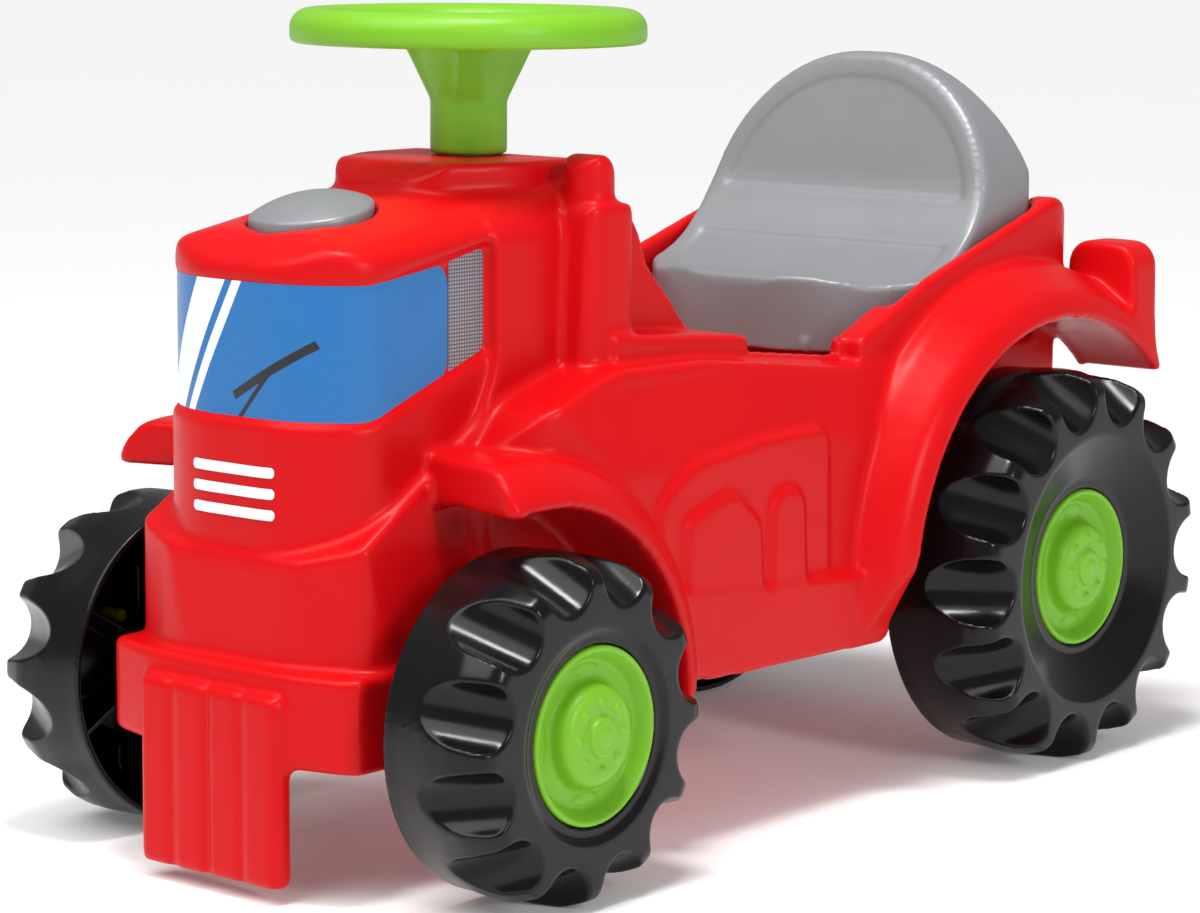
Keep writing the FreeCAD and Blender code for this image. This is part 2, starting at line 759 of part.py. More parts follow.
def hip_block(inset):
    """Wide middle of the body between the front and rear fenders."""
    side = [
        (FRONT_AXLE_Y + HIP_FRONT_RUN, SKIRT_TOP_Z, 0.0),
        (FRONT_AXLE_Y + HIP_FRONT_RUN, HIP_Z - HIP_FRONT_DROP, HIP_FRONT_R),
        (FRONT_AXLE_Y + HIP_SLOPE_RUN, HIP_Z - HIP_SLOPE_DROP, HIP_SLOPE_R),
        (FRONT_AXLE_Y + HIP_CREST_RUN, HIP_Z + HIP_CREST_RISE, HIP_CREST_R),
        (DASH_FOOT_Y - HIP_BEND_RUN, HIP_Z, HIP_CREST_R),
        (SIDE_REAR_Y - HIP_TAIL_RUN, HIP_Z - HIP_TAIL_DROP, HIP_TAIL_R),
        (SIDE_REAR_Y + HIP_END_RUN, HIP_Z - HIP_TAIL_DROP, 0.0),
        (SIDE_REAR_Y + HIP_END_RUN, FLOOR_Z, 0.0),
        (FRONT_AXLE_Y + HIP_FLOOR_RUN, FLOOR_Z, 0.0),
    ]
    front = mirrored([
        (HIP_HALF - HIP_CREST_RISE, HIP_Z + HIP_TOP_RISE, 0.0),
        (HIP_HALF, HIP_Z - HIP_EDGE_DROP, HIP_EDGE_R),
        (SIDE_HALF, SKIRT_TOP_Z + SIDE_BEND_RISE, SIDE_BEND_R),
        (SIDE_HALF + SIDE_FLARE, SKIRT_TOP_Z, SIDE_LOW_R),
        (SIDE_HALF, SKIRT_Z + SIDE_FOOT_RISE, SIDE_FOOT_R),
        (SIDE_HALF - SIDE_TUCK, FLOOR_Z, EDGE_R),
    ])
    plan = mirrored([
        (CAB_HALF - HIP_LAP, FRONT_AXLE_Y + HIP_LAP, 0.0),
        (SIDE_HALF - HIP_CORNER_IN, FRONT_AXLE_Y + HIP_CORNER_RUN, HIP_CORNER_R),
        (SIDE_HALF + HIP_LAP, FRONT_AXLE_Y + HIP_SIDE_RUN, HIP_CREST_R),
        (SIDE_HALF + HIP_LAP, SIDE_REAR_Y + HIP_SIDE_TAIL, 0.0),
    ])
    return meet([
        side_prism(inset_outline(side, inset), -FAR, FAR),
        front_prism(inset_outline(front, inset), -FAR, FAR),
        plan_prism(inset_outline(plan, inset), -FAR, FAR),
    ])


def sill_block(inset):
    """Raised inner edge on either side of the foot space."""
    side = [
        (DECK_REAR_Y - SILL_LEAD, HIP_Z - SILL_DEPTH, 0.0),
        (DECK_REAR_Y - SILL_LEAD, SILL_Z + SILL_RISE, 0.0),
        (DASH_FOOT_Y - SILL_BEND_RUN, SILL_Z, SILL_BEND_R),
        (SIDE_REAR_Y - SILL_BEND_RUN, SILL_Z - SILL_FALL, 0.0),
        (SIDE_REAR_Y, SILL_Z - SILL_FALL, 0.0),
        (SIDE_REAR_Y, HIP_Z - SILL_DEPTH, 0.0),
    ]
    return side_prism(inset_outline(side, inset), -SILL_HALF + inset, SILL_HALF - inset)


def rear_block(inset):
    """Body between the rear wheels, with the seat surround on top."""
    front_y = SIDE_REAR_Y - REAR_LAP
    low_z = HIP_Z - REAR_DEPTH
    lower = plan_prism(inset_outline(mirrored([
        (REAR_WELL_HALF, front_y, 0.0),
        (REAR_WELL_HALF, SURROUND_REAR_Y + REAR_BULGE, REAR_CORNER_R),
    ]), inset), FLOOR_Z + inset, HIP_Z - inset)
    side = [
        (front_y, low_z, 0.0),
        (front_y, SILL_Z - SURROUND_START_DROP, SURROUND_EDGE_R),
        (SIDE_REAR_Y + SURROUND_BEND_RUN, SURROUND_Z - SURROUND_BEND_DROP, SURROUND_BEND_R),
        (SURROUND_REAR_Y - SURROUND_TOP_RUN, SURROUND_Z, SURROUND_TOP_R),
        (SURROUND_REAR_Y, SURROUND_Z - SURROUND_REAR_DROP, SURROUND_EDGE_R),
        (SURROUND_REAR_Y, low_z, 0.0),
    ]
    plan = mirrored([
        (SURROUND_HALF, front_y - BODY_WALL, 0.0),
        (SURROUND_HALF, SURROUND_REAR_Y, SURROUND_CORNER_R),
    ])
    upper = side_prism(inset_outline(side, inset), -FAR, FAR).common(
        plan_prism(inset_outline(plan, inset), BELLY_Z, FAR))
    return lower.fuse(upper)


def fender(y, z, arch_r, crown_r, inner_x, outer_x, crown_x, angle_from, angle_to):
    """Rounded fender turned about the wheel's axle; angles are from straight up, towards the back."""
    section = [
        (inner_x, arch_r, 0.0),
        (inner_x, crown_r, 0.0),
        (crown_x, crown_r, FENDER_ROUND_R),
        (outer_x - FENDER_LEAN, 0.5 * (arch_r + crown_r), FENDER_ROUND_R),
        (outer_x, arch_r + LIP_H, LIP_H),
        (outer_x, arch_r, 0.0),
    ]
    a = math.radians(angle_from)
    face = outline_face(section, lambda u, v: V(u, y + v * math.sin(a), z + v * math.cos(a)))
    return face.revolve(V(0, y, z), V(-1, 0, 0), angle_to - angle_from)


def front_fender():
    inner_x = CAB_HALF - FRONT_FENDER_LAP
    whole = fender(FRONT_AXLE_Y, FRONT_TYRE_R, FRONT_ARCH_R - LAP, FRONT_CROWN_R, inner_x, FRONT_FENDER_HALF,
                   FRONT_FENDER_HALF - FRONT_CROWN_IN, FRONT_FENDER_FROM, FRONT_FENDER_TO)
    edge_x = FRONT_FENDER_HALF + LAP
    keep = plan_prism([
        (0.0, FRONT_AXLE_Y, 0.0),
        (edge_x, FRONT_AXLE_Y - FRONT_FENDER_LEAD, FENDER_CORNER_R),
        (edge_x, 0.0, 0.0),
        (0.0, 0.0, 0.0),
    ], 0.0, FAR)
    return whole.common(keep)


def rear_fender():
    inner_x = REAR_WELL_HALF - REAR_FENDER_LAP
    whole = fender(REAR_AXLE_Y, REAR_TYRE_R, REAR_ARCH_R - LAP, REAR_CROWN_R, inner_x, REAR_FENDER_HALF,
                   REAR_FENDER_HALF - REAR_CROWN_IN, REAR_FENDER_FROM, REAR_FENDER_TO)
    taper = [
        (0.0, SKIRT_Z, 0.0),
        (SKIRT_HALF - LIP_H, SKIRT_Z, EDGE_R),
        (REAR_FENDER_HALF, SKIRT_TOP_Z, REAR_TAPER_R),
        (REAR_FENDER_HALF, FAR, 0.0),
        (0.0, FAR, 0.0),
    ]
    return whole.common(front_prism(taper, -FAR, REAR_END_Y))


def side_panel():
    """Raised engine cover with two vents, and the skirt strip below it."""
    inner_x = HIP_HALF - PANEL_LAP
    low_z = SKIRT_TOP_Z - PANEL_FOOT
    cover = side_prism([
        (COVER_FRONT_Y, low_z, 0.0),
        (COVER_FRONT_Y, SKIRT_TOP_Z + COVER_FRONT_H, COVER_FRONT_R),
        (COVER_FRONT_Y + COVER_BEND_RUN, SKIRT_TOP_Z + COVER_BEND_H, COVER_BEND_R),
        (COVER_FRONT_Y + COVER_CREST_RUN, SKIRT_TOP_Z + COVER_CREST_H, COVER_CREST_R),
        (COVER_REAR_Y, SKIRT_TOP_Z + COVER_REAR_H, COVER_REAR_R),
        (COVER_REAR_Y, low_z, 0.0),
    ], inner_x, PANEL_HALF)
    wide_vent = side_prism([
        (WIDE_VENT_Y, low_z, 0.0),
        (WIDE_VENT_Y, SKIRT_TOP_Z + WIDE_VENT_FRONT_H, WIDE_VENT_FRONT_R),
        (WIDE_VENT_Y + WIDE_VENT_PEAK_RUN, SKIRT_TOP_Z + WIDE_VENT_PEAK_H, WIDE_VENT_R),
        (WIDE_VENT_Y + WIDE_VENT_W - VENT_DRAFT, SKIRT_TOP_Z + WIDE_VENT_REAR_H, WIDE_VENT_R),
        (WIDE_VENT_Y + WIDE_VENT_W, low_z, 0.0),
    ], inner_x, PANEL_HALF + VENT_H)
    narrow_vent = side_prism([
        (NARROW_VENT_Y, low_z, 0.0),
        (NARROW_VENT_Y, SKIRT_TOP_Z + NARROW_VENT_H, NARROW_VENT_R),
        (NARROW_VENT_Y + NARROW_VENT_W - VENT_DRAFT, SKIRT_TOP_Z + NARROW_VENT_H, NARROW_VENT_R),
        (NARROW_VENT_Y + NARROW_VENT_W, low_z, 0.0),
    ], inner_x, PANEL_HALF + VENT_H)
    skirt = side_prism([
        (COVER_FRONT_Y + LAP, SKIRT_TOP_Z + SKIRT_TIP_RISE, PANEL_FOOT),
        (COVER_FRONT_Y + SKIRT_KNEE_RUN, SKIRT_TOP_Z - SKIRT_KNEE_DROP, SKIRT_KNEE_R),
        (COVER_FRONT_Y + SKIRT_TOE_RUN, SKIRT_Z, SKIRT_TOE_R),
        (SIDE_REAR_Y - SKIRT_HEEL_RUN, SKIRT_Z - PANEL_FOOT, SKIRT_HEEL_R),
        (SIDE_REAR_Y - SKIRT_END_RUN, SKIRT_TOP_Z - SKIRT_KNEE_DROP, SKIRT_END_R),
        (SIDE_REAR_Y - SKIRT_TOP_RUN, SKIRT_TOP_Z - SKIRT_TOP_FALL, SKIRT_END_R),
        (COVER_FRONT_Y + SKIRT_CREST_RUN, SKIRT_TOP_Z, 0.0),
    ], inner_x, SKIRT_HALF)
    return joined([cover, wide_vent, narrow_vent, skirt])


def exhaust():
    """Upright exhaust on the left side of the bonnet."""
    y = STEER_Y + EXHAUST_BACK
    x = CAB_HALF + EXHAUST_OUT
    foot_z = HIP_Z - EXHAUST_FOOT
    top_z = DECK_Z - EXHAUST_DROP
    foot_half = EXHAUST_HALF + EXHAUST_DRAFT
    root_half = foot_half + EXHAUST_DRAFT
    stack = side_prism([
        (y - foot_half, foot_z, 0.0),
        (y - EXHAUST_HALF, top_z, EXHAUST_TOP_R),
        (y + EXHAUST_HALF, top_z, EXHAUST_TOP_R),
        (y + foot_half, foot_z, 0.0),
    ], CAB_HALF - EXHAUST_LAP, x)
    stack = stack.common(plan_prism([
        (CAB_HALF - EXHAUST_LAP, y - root_half, 0.0),
        (x, y - foot_half, EXHAUST_ROUND_R),
        (x, y + foot_half, EXHAUST_ROUND_R),
        (CAB_HALF - EXHAUST_LAP, y + root_half, 0.0),
    ], BELLY_Z, FAR))
    tip_y = y - TIP_FORWARD
    tip_x = x - TIP_IN - TIP_R
    reach = TIP_R + LAP
    tip = side_prism([
        (tip_y - reach, top_z - TIP_LAP, 0.0),
        (tip_y - reach, DECK_Z + TIP_FRONT_RISE, TIP_FRONT_R),
        (tip_y + TIP_PEAK_RUN, DECK_Z + TIP_PEAK_RISE, EDGE_R),
        (tip_y + reach, DECK_Z - TIP_REAR_DROP, EDGE_R),
        (tip_y + reach, top_z - TIP_LAP, 0.0),
    ], tip_x - reach, tip_x + reach)
    return stack.fuse(tip.common(round_z(tip_x, tip_y, BELLY_Z, FAR, TIP_R)))


def deck():
    low_z = BONNET_Z - CAB_TOP_DROP
    rear_y = DECK_REAR_Y + DECK_DRAFT
    side = [
        (DECK_FRONT_Y, low_z, 0.0),
        (DECK_FRONT_Y, BONNET_Z + DECK_FRONT_RISE, EDGE_R),
        (DECK_FRONT_Y + DECK_RAMP, DECK_Z, DECK_RAMP_R),
        (DECK_REAR_Y, DECK_Z, DECK_REAR_R),
        (rear_y, low_z, 0.0),
    ]
    plan = mirrored([
        (DECK_FLAT_HALF, DECK_FRONT_Y, DECK_FRONT_R),
        (DECK_HALF, DECK_FRONT_Y + DECK_TAPER, DECK_SIDE_R),
        (DECK_HALF, rear_y, DECK_CORNER_R),
    ])
    return side_prism(side, -DECK_HALF, DECK_HALF).common(plan_prism(plan, BELLY_Z, FAR))


def bumper():
    plan = mirrored([
        (BUMPER_FLAT_HALF, BUMPER_FRONT_Y, BUMPER_FRONT_R),
        (BUMPER_HALF, BUMPER_FRONT_Y + BUMPER_BOW, BUMPER_CORNER_R),
        (BUMPER_HALF, BUMPER_FRONT_Y + BUMPER_DEPTH, BUMPER_END_R),
    ])
    return plan_prism(plan, BELLY_Z, BUMPER_TOP_Z)


def weights():
    """Front weight block with upright ribs."""
    rib_pitch = 2.0 * WEIGHTS_HALF / WEIGHTS
    half = 0.5 * rib_pitch - 0.5 * WEIGHTS_GAP
    plate = plan_prism(mirrored([
        (WEIGHTS_HALF, WEIGHTS_FRONT_Y + WEIGHTS_RIB_H, WEIGHTS_CORNER_R),
        (WEIGHTS_HALF, WEIGHTS_BACK_Y, WEIGHTS_CORNER_R),
    ]), WEIGHTS_Z, WEIGHTS_TOP_Z - WEIGHTS_RIB_RISE)
    ribs = []
    for i in range(WEIGHTS):
        x = -WEIGHTS_HALF + rib_pitch * (i + 0.5)
        ribs.append(plan_prism([
            (x - half, WEIGHTS_FRONT_Y, WEIGHTS_RIB_R),
            (x + half, WEIGHTS_FRONT_Y, WEIGHTS_RIB_R),
            (x + half, WEIGHTS_BACK_Y, 0.0),
            (x - half, WEIGHTS_BACK_Y, 0.0),
        ], WEIGHTS_Z, WEIGHTS_TOP_Z))
    return joined([plate] + ribs)


def tail_light():
    x = REAR_FENDER_HALF - LIGHT_IN
    top_z = SURROUND_Z - LIGHT_DROP
    foot_half = LIGHT_HALF + LIGHT_DRAFT
    return front_prism([
        (x - foot_half, top_z - LIGHT_H, 0.0),
        (x - LIGHT_HALF, top_z, LIGHT_R),
        (x + LIGHT_HALF, top_z, LIGHT_R),
        (x + foot_half, top_z - LIGHT_H, 0.0),
    ], REAR_END_Y - LIGHT_DEPTH, REAR_END_Y - LIGHT_SET_BACK)


def wheel_wells(grow):
    """Space that the wheels turn in, grown by the wall for the hollow."""
    front = round_x(FRONT_WELL_HALF - grow, FAR, FRONT_AXLE_Y, FRONT_TYRE_R, FRONT_ARCH_R + grow)
    rear = round_x(REAR_WELL_HALF - grow, FAR, REAR_AXLE_Y, REAR_TYRE_R, REAR_ARCH_R + grow)
    return both_sides(front) + both_sides(rear)


def seat_pocket(grow):
    """Foot space, seat recess and storage tub, one below the other."""
    pocket_half = SEAT_HALF + SEAT_GAP + grow
    foot_half = SILL_HALF - SILL_T + grow
    foot_rear = HINGE_Y + HINGE_EYE_R + HINGE_ROOM + grow
    foot = box(-foot_half, foot_half, DASH_FOOT_Y - grow, foot_rear, FOOTWELL_Z - grow, FAR)
    recess = plan_prism(mirrored([
        (pocket_half, SEAT_SIDE_Y - SWING_ROOM - grow, 0.0),
        (pocket_half, SEAT_REAR_Y + SEAT_GAP + grow, SEAT_CORNER_R + SEAT_GAP + grow),
    ]), SEAT_BASE_Z - SIDE_PLAY - grow, FAR)
    tub = plan_prism(mirrored([
        (TUB_HALF + grow, TUB_FRONT_Y - grow, TUB_R),
        (TUB_HALF + grow, TUB_REAR_Y + grow, TUB_R),
    ]), TUB_FLOOR_Z - grow, FAR)
    return [foot, recess, tub]


def horn_prism(grow, z0, z1):
    """Upright column with the oval outline of the horn button."""
    rx = HORN_HALF_X + grow
    ry = HORN_HALF_Y + grow
    if rx >= ry:
        ring = Part.Ellipse(V(0, HORN_Y, z0), rx, ry).toShape()
    else:
        ring = Part.Ellipse(V(0, HORN_Y + ry, z0), V(rx, HORN_Y, z0), V(0, HORN_Y, z0)).toShape()
    return Part.Face(Part.Wire([ring])).extrude(V(0, 0, z1 - z0))


def body_bores(grow):
    """Holes for the two axles, the steering rod and the horn."""
    front = round_x(-FAR, FAR, FRONT_AXLE_Y, FRONT_TYRE_R, AXLE_R + AXLE_FIT + grow)
    rear = round_x(-FAR, FAR, REAR_AXLE_Y, REAR_TYRE_R, AXLE_R + AXLE_FIT + grow)
    rod = round_z(0, STEER_Y, -FAR, FAR, BUSH_R + grow)
    return [front, rear, rod, horn_prism(HORN_GAP + grow, HORN_POCKET_Z - grow, FAR)]


def hinge_bore():
    half = HINGE_ROD_HALF + LAP
    return round_x(-half, half, HINGE_Y, HINGE_Z, HINGE_R + HINGE_FIT)


def hinge_lugs():
    """Lugs that hold the seat's hinge rod, on posts against the rear wall of the foot space."""
    lug = round_x(LUG_X, LUG_X + LUG_W, HINGE_Y, HINGE_Z, HINGE_EYE_R)
    wall_y = HINGE_Y + HINGE_EYE_R + HINGE_ROOM
    post = box(LUG_X, LUG_X + LUG_W, wall_y - LUG_POST_T, wall_y + LAP, FOOTWELL_Z - LAP, HINGE_Z)
    return both_sides(lug.fuse(post))


def body_shell():
    blocks = [nose_block, chin_block, bonnet_block, shell_block, hip_block, sill_block, rear_block]
    outside = joined([block(0.0) for block in blocks] + [deck(), bumper(), weights(), exhaust()]
                     + both_sides(front_fender()) + both_sides(rear_fender()) + both_sides(side_panel())
                     + both_sides(tail_light()))
    outside = outside.cut(wheel_wells(0.0) + seat_pocket(0.0))
    outside = outside.fuse(hinge_lugs()).cut(body_bores(0.0) + [hinge_bore()])
    hollow = joined([block(BODY_WALL) for block in blocks])
    hollow = hollow.cut(wheel_wells(BODY_WALL) + seat_pocket(BODY_WALL) + body_bores(BODY_WALL))
    return outside.cut(hollow)


# Wheels.

def turned(corners, y, z):
    """Solid turned about an axle; the outline is (x, radius) and starts and ends on the axle."""
    face = outline_face(corners, lambda u, v: V(u, y, z + v))
    return face.revolve(V(0, y, z), AXIS_X, 360.0)


def inside_of(corners, wall):
    """Inside of a turned wall: the outline moved inwards, with its ends kept on the axle."""
    moved = inset_outline(corners, wall)
    first_x = moved[0][0]
    last_x = moved[-1][0]
    return [(first_x, 0.0, 0.0)] + moved[1:-1] + [(last_x, 0.0, 0.0)]


def tyre_outline(start_x, in_x, out_x, rim_x, tyre_r, lug_r, wall_r):
    """Outline of a tyre from its open back to the seat of the hub cap."""
    pocket_r = HUB_CAP_R + HUB_CAP_FIT
    pocket_x = rim_x - HUB_CAP_SEAT
    return [
        (start_x, 0.0, 0.0),
        (start_x, tyre_r - DRUM_TAPER, 0.0),
        (in_x + DRUM_FLAT, tyre_r - DRUM_TAPER, DRUM_BEND_R),
        (in_x + TREAD_RUN, tyre_r, TREAD_BEND_R),
        (out_x - SHOULDER_X, tyre_r, SHOULDER_BEND_R),
        (out_x, lug_r, SHOULDER_R),
        (out_x, wall_r, EDGE_R),
        (rim_x, pocket_r + RIM_LAND, 0.0),
        (rim_x, pocket_r, 0.0),
        (pocket_x, pocket_r, 0.0),
        (pocket_x, 0.0, 0.0),
    ]


def lug_gaps(y, z, out_x, tyre_r, valley_r, gap_r, count, grow):
    """Scoops between the lugs: round channels that rise from the side wall to the tread."""
    rise = (tyre_r - valley_r) / LUG_GAP_RUN
    lift = gap_r * math.hypot(1.0, rise)
    gaps = []
    for i in range(count):
        a = 2.0 * math.pi * (i + 0.5) / count
        start_r = valley_r + lift - rise * GAP_LEAD
        start = V(out_x + GAP_LEAD, y + start_r * math.sin(a), z + start_r * math.cos(a))
        along = V(-1.0, rise * math.sin(a), rise * math.cos(a))
        gaps.append(Part.makeCylinder(gap_r + grow, 2.0 * LUG_GAP_RUN, start, along))
    return gaps


def without_gaps(solid, gaps):
    """Cuts every other scoop first, then the ones between, so that neighbours stay apart."""
    return solid.cut(gaps[0::2]).cut(gaps[1::2])


def tyre(y, wall_x, in_x, out_x, rim_x, tyre_r, lug_r, wall_r, valley_r, gap_r, count):
    """Hollow moulded tyre, open at the back, with a hub tube and ribs inside."""
    z = tyre_r
    outline = tyre_outline(in_x, in_x, out_x, rim_x, tyre_r, lug_r, wall_r)
    longer = tyre_outline(in_x - RIB_BACK, in_x, out_x, rim_x, tyre_r, lug_r, wall_r)
    outside = without_gaps(turned(outline, y, z), lug_gaps(y, z, out_x, tyre_r, valley_r, gap_r, count, 0.0))
    cavity = turned(inside_of(longer, TYRE_WALL), y, z)
    cavity = without_gaps(cavity, lug_gaps(y, z, out_x, tyre_r, valley_r, gap_r, count, TYRE_WALL))
    disc_x = rim_x - HUB_CAP_SEAT
    inner_x = wall_x + WASHER_T + SIDE_PLAY
    web = box(in_x + RIB_BACK, out_x, y - 0.5 * RIB_T, y + 0.5 * RIB_T, z, z + tyre_r)
    ribs = []
    for i in range(TYRE_RIBS):
        rib = web.copy()
        rib.rotate(V(0, y, z), AXIS_X, 360.0 * i / TYRE_RIBS)
        ribs.append(rib.common(cavity))
    hub = round_x(inner_x, disc_x, y, z, HUB_TUBE_R)
    whole = outside.cut(cavity).fuse(ribs + [hub])
    holes = [round_x(0.0, out_x, y, z, AXLE_R + AXLE_FIT)]
    for py, pz in peg_places(y, z):
        holes.append(round_x(in_x, out_x, py, pz, PEG_R + HUB_CAP_FIT))
    return whole.cut(holes)


def peg_places(y, z):
    """Middles of the four pegs, between the ribs of the tyre."""
    places = []
    for i in range(LEAVES):
        a = 2.0 * math.pi * (i + 0.5) / LEAVES
        places.append((y + PEG_RING_R * math.sin(a), z + PEG_RING_R * math.cos(a)))
    return places


def cap_outline(start_x, rim_x):
    dish_x = rim_x - CAP_DISH
    top_x = dish_x + BOSS_H
    lip_r = HUB_CAP_R - CAP_LIP
    return [
        (start_x, 0.0, 0.0),
        (start_x, HUB_CAP_R, 0.0),
        (rim_x + CAP_LIP_H, HUB_CAP_R, CAP_LIP_R),
        (rim_x + CAP_LIP_H, lip_r, CAP_LIP_R),
        (dish_x, lip_r - CAP_SLOPE, CAP_DISH_R),
        (dish_x, BOSS_R + BOSS_DRAFT, BOSS_FOOT_R),
        (top_x, BOSS_R - BOSS_DRAFT, BOSS_ROUND),
        (top_x, 0.0, 0.0),
    ]


def leaf(dish_x, y, z, a):
    """Low leaf-shaped relief on the dish of the hub cap."""
    bow_r = (0.25 * LEAF_L ** 2 + 0.25 * LEAF_W ** 2) / LEAF_W
    shift = bow_r - 0.5 * LEAF_W
    lens = []
    for r in (LEAF_R - shift, LEAF_R + shift):
        lens.append(round_x(dish_x - LEAF_H, dish_x + LEAF_H, y + r * math.sin(a), z + r * math.cos(a),
                            bow_r))
    return meet(lens)


def hub_cap(y, z, rim_x):
    """Green hub cap: dished plate with a domed boss, ring of bolts, centre cap, leaves and pegs."""
    dish_x = rim_x - CAP_DISH
    top_x = dish_x + BOSS_H
    back_x = rim_x - HUB_CAP_SEAT + SIDE_PLAY
    plate = turned(cap_outline(back_x, rim_x), y, z)
    plate = plate.cut(turned(inside_of(cap_outline(back_x - CAP_DISH, rim_x), CAP_WALL), y, z))
    extras = [round_x(top_x - LAP, top_x + CENTRE_H, y, z, CENTRE_R)]
    hexagon = []
    for i in range(6):
        a = math.pi * i / 3.0
        hexagon.append((y + HEX_R * math.sin(a), z + HEX_R * math.cos(a), 0.0))
    extras.append(side_prism(hexagon, top_x, top_x + CENTRE_H + HEX_H))
    for i in range(BOLTS):
        a = 2.0 * math.pi * i / BOLTS
        extras.append(round_x(top_x - LAP, top_x + BOLT_H, y + BOLT_RING_R * math.sin(a),
                              z + BOLT_RING_R * math.cos(a), BOLT_R))
    for i in range(LEAVES):
        extras.append(leaf(dish_x, y, z, 2.0 * math.pi * i / LEAVES))
    disc_x = rim_x - HUB_CAP_SEAT - TYRE_WALL
    for py, pz in peg_places(y, z):
        extras.append(round_x(disc_x - PEG_L, dish_x - 0.5 * CAP_WALL, py, pz, PEG_R))
    return joined([plate] + extras)


def axle(y, z, rim_x):
    half = rim_x - HUB_CAP_SEAT + SIDE_PLAY + 1.5 * NUT_T
    return round_x(-half, half, y, z, AXLE_R)


def washers(y, z, wall_x):
    return both_sides(tube_x(wall_x, wall_x + WASHER_T, y, z, WASHER_R, AXLE_R + AXLE_FIT))


def push_nuts(y, z, rim_x):
    seat_x = rim_x - HUB_CAP_SEAT + SIDE_PLAY
    return both_sides(tube_x(seat_x, seat_x + NUT_T, y, z, NUT_R, AXLE_R + AXLE_FIT))


# Steering.

def turned_z(corners, y):
    """Solid turned about an upright line at x = 0; the outline is (radius, z)."""
    face = outline_face(corners, lambda u, v: V(u, y, v))
    return face.revolve(V(0, y, 0), AXIS_Z, 360.0)


def steering_wheel():
    """Wheel rim, four spokes, flared column and the hub that holds the rod."""
    rim = turned_z([
        (STEER_RIM_R - STEER_RIM_W, STEER_BOTTOM_Z, RIM_UNDER_R),
        (STEER_RIM_R, STEER_BOTTOM_Z, RIM_UNDER_R),
        (STEER_RIM_R, STEER_TOP_Z, RIM_TOP_R),
        (STEER_RIM_R - STEER_RIM_W, STEER_TOP_Z, RIM_TOP_R),
    ], STEER_Y)
    column = turned_z([
        (0.0, DECK_Z + COLUMN_GAP, 0.0),
        (COLUMN_R, DECK_Z + COLUMN_GAP, COLUMN_EDGE_R),
        (COLUMN_R, FLARE_Z, FLARE_BEND_R),
        (FLARE_R, STEER_BOTTOM_Z - FLARE_LIP, FLARE_TOP_R),
        (STEER_HUB_R, STEER_BOTTOM_Z, EDGE_R),
        (STEER_HUB_R, STEER_HUB_Z, RIM_UNDER_R),
        (0.0, STEER_HUB_Z, 0.0),
    ], STEER_Y)
    arms = []
    for i in range(SPOKES):
        spoke = box(0.0, STEER_RIM_R - 0.5 * STEER_RIM_W, STEER_Y - 0.5 * SPOKE_W, STEER_Y + 0.5 * SPOKE_W,
                    STEER_BOTTOM_Z, STEER_BOTTOM_Z + SPOKE_T)
        gusset = front_prism([
            (0.0, FLARE_Z, 0.0),
            (COLUMN_R, FLARE_Z, 0.0),
            (GUSSET_R, STEER_BOTTOM_Z, 0.0),
            (GUSSET_R, STEER_BOTTOM_Z + LAP, 0.0),
            (0.0, STEER_BOTTOM_Z + LAP, 0.0),
        ], STEER_Y - 0.5 * GUSSET_T, STEER_Y + 0.5 * GUSSET_T)
        arm = spoke.fuse(gusset)
        arm.rotate(V(0, STEER_Y, 0), AXIS_Z, 360.0 * (i + 0.5) / SPOKES)
        arms.append(arm)
    whole = joined([rim, column] + arms)
    sleeve = tube_z(0, STEER_Y, BOSS_Z, COLUMN_ROOF_Z, COLUMN_BORE_R, STEER_BOSS_R)
    under = round_z(0, STEER_Y, DECK_Z, BOSS_Z, COLUMN_BORE_R)
    rod_hole = round_z(0, STEER_Y, DECK_Z, ROD_TOP_Z, ROD_R + ROD_FIT)
    screw_hole = round_z(0, STEER_Y, ROD_TOP_Z - LAP, STEER_HUB_Z, SCREW_R + ROD_FIT)
    cap_hole = round_z(0, STEER_Y, SCREW_SEAT_Z, STEER_HUB_Z + LAP, CAP_PLUG_R + ROD_FIT)
    return whole.cut([sleeve, under, rod_hole, screw_hole, cap_hole])


def steering_rod():
    rod = round_z(0, STEER_Y, STEER_NUT_Z - NUT_T, ROD_TOP_Z, ROD_R)
    return rod.cut(round_z(0, STEER_Y, SCREW_SEAT_Z - SCREW_L - LAP, ROD_TOP_Z + LAP, SCREW_R + ROD_FIT))


def steering_bushes():
    """Flanged bushes in the deck and in the belly that the steering rod turns in."""
    bore = ROD_R + ROD_FIT
    upper = joined([
        round_z(0, STEER_Y, DECK_Z - BUSH_L, FLANGE_TOP_Z, BUSH_R - ROD_FIT),
        round_z(0, STEER_Y, DECK_Z, FLANGE_TOP_Z, BUSH_FLANGE_R),
    ]).cut(round_z(0, STEER_Y, DECK_Z - BUSH_L, FLANGE_TOP_Z, bore))
    lower = joined([
        round_z(0, STEER_Y, LOWER_FLANGE_Z, FLOOR_Z + BUSH_L, BUSH_R - ROD_FIT),
        round_z(0, STEER_Y, LOWER_FLANGE_Z, FLOOR_Z, BUSH_FLANGE_R),
    ]).cut(round_z(0, STEER_Y, LOWER_FLANGE_Z, FLOOR_Z + BUSH_L, bore))
    return [upper, lower]


def steering_washer():
    return tube_z(0, STEER_Y, FLANGE_TOP_Z, FLANGE_TOP_Z + STEER_WASHER_T, BUSH_FLANGE_R - LAP,
                  ROD_R + ROD_FIT)


def steering_push_nut():
    return tube_z(0, STEER_Y, STEER_NUT_Z, STEER_NUT_Z + NUT_T, NUT_R, ROD_R + ROD_FIT)


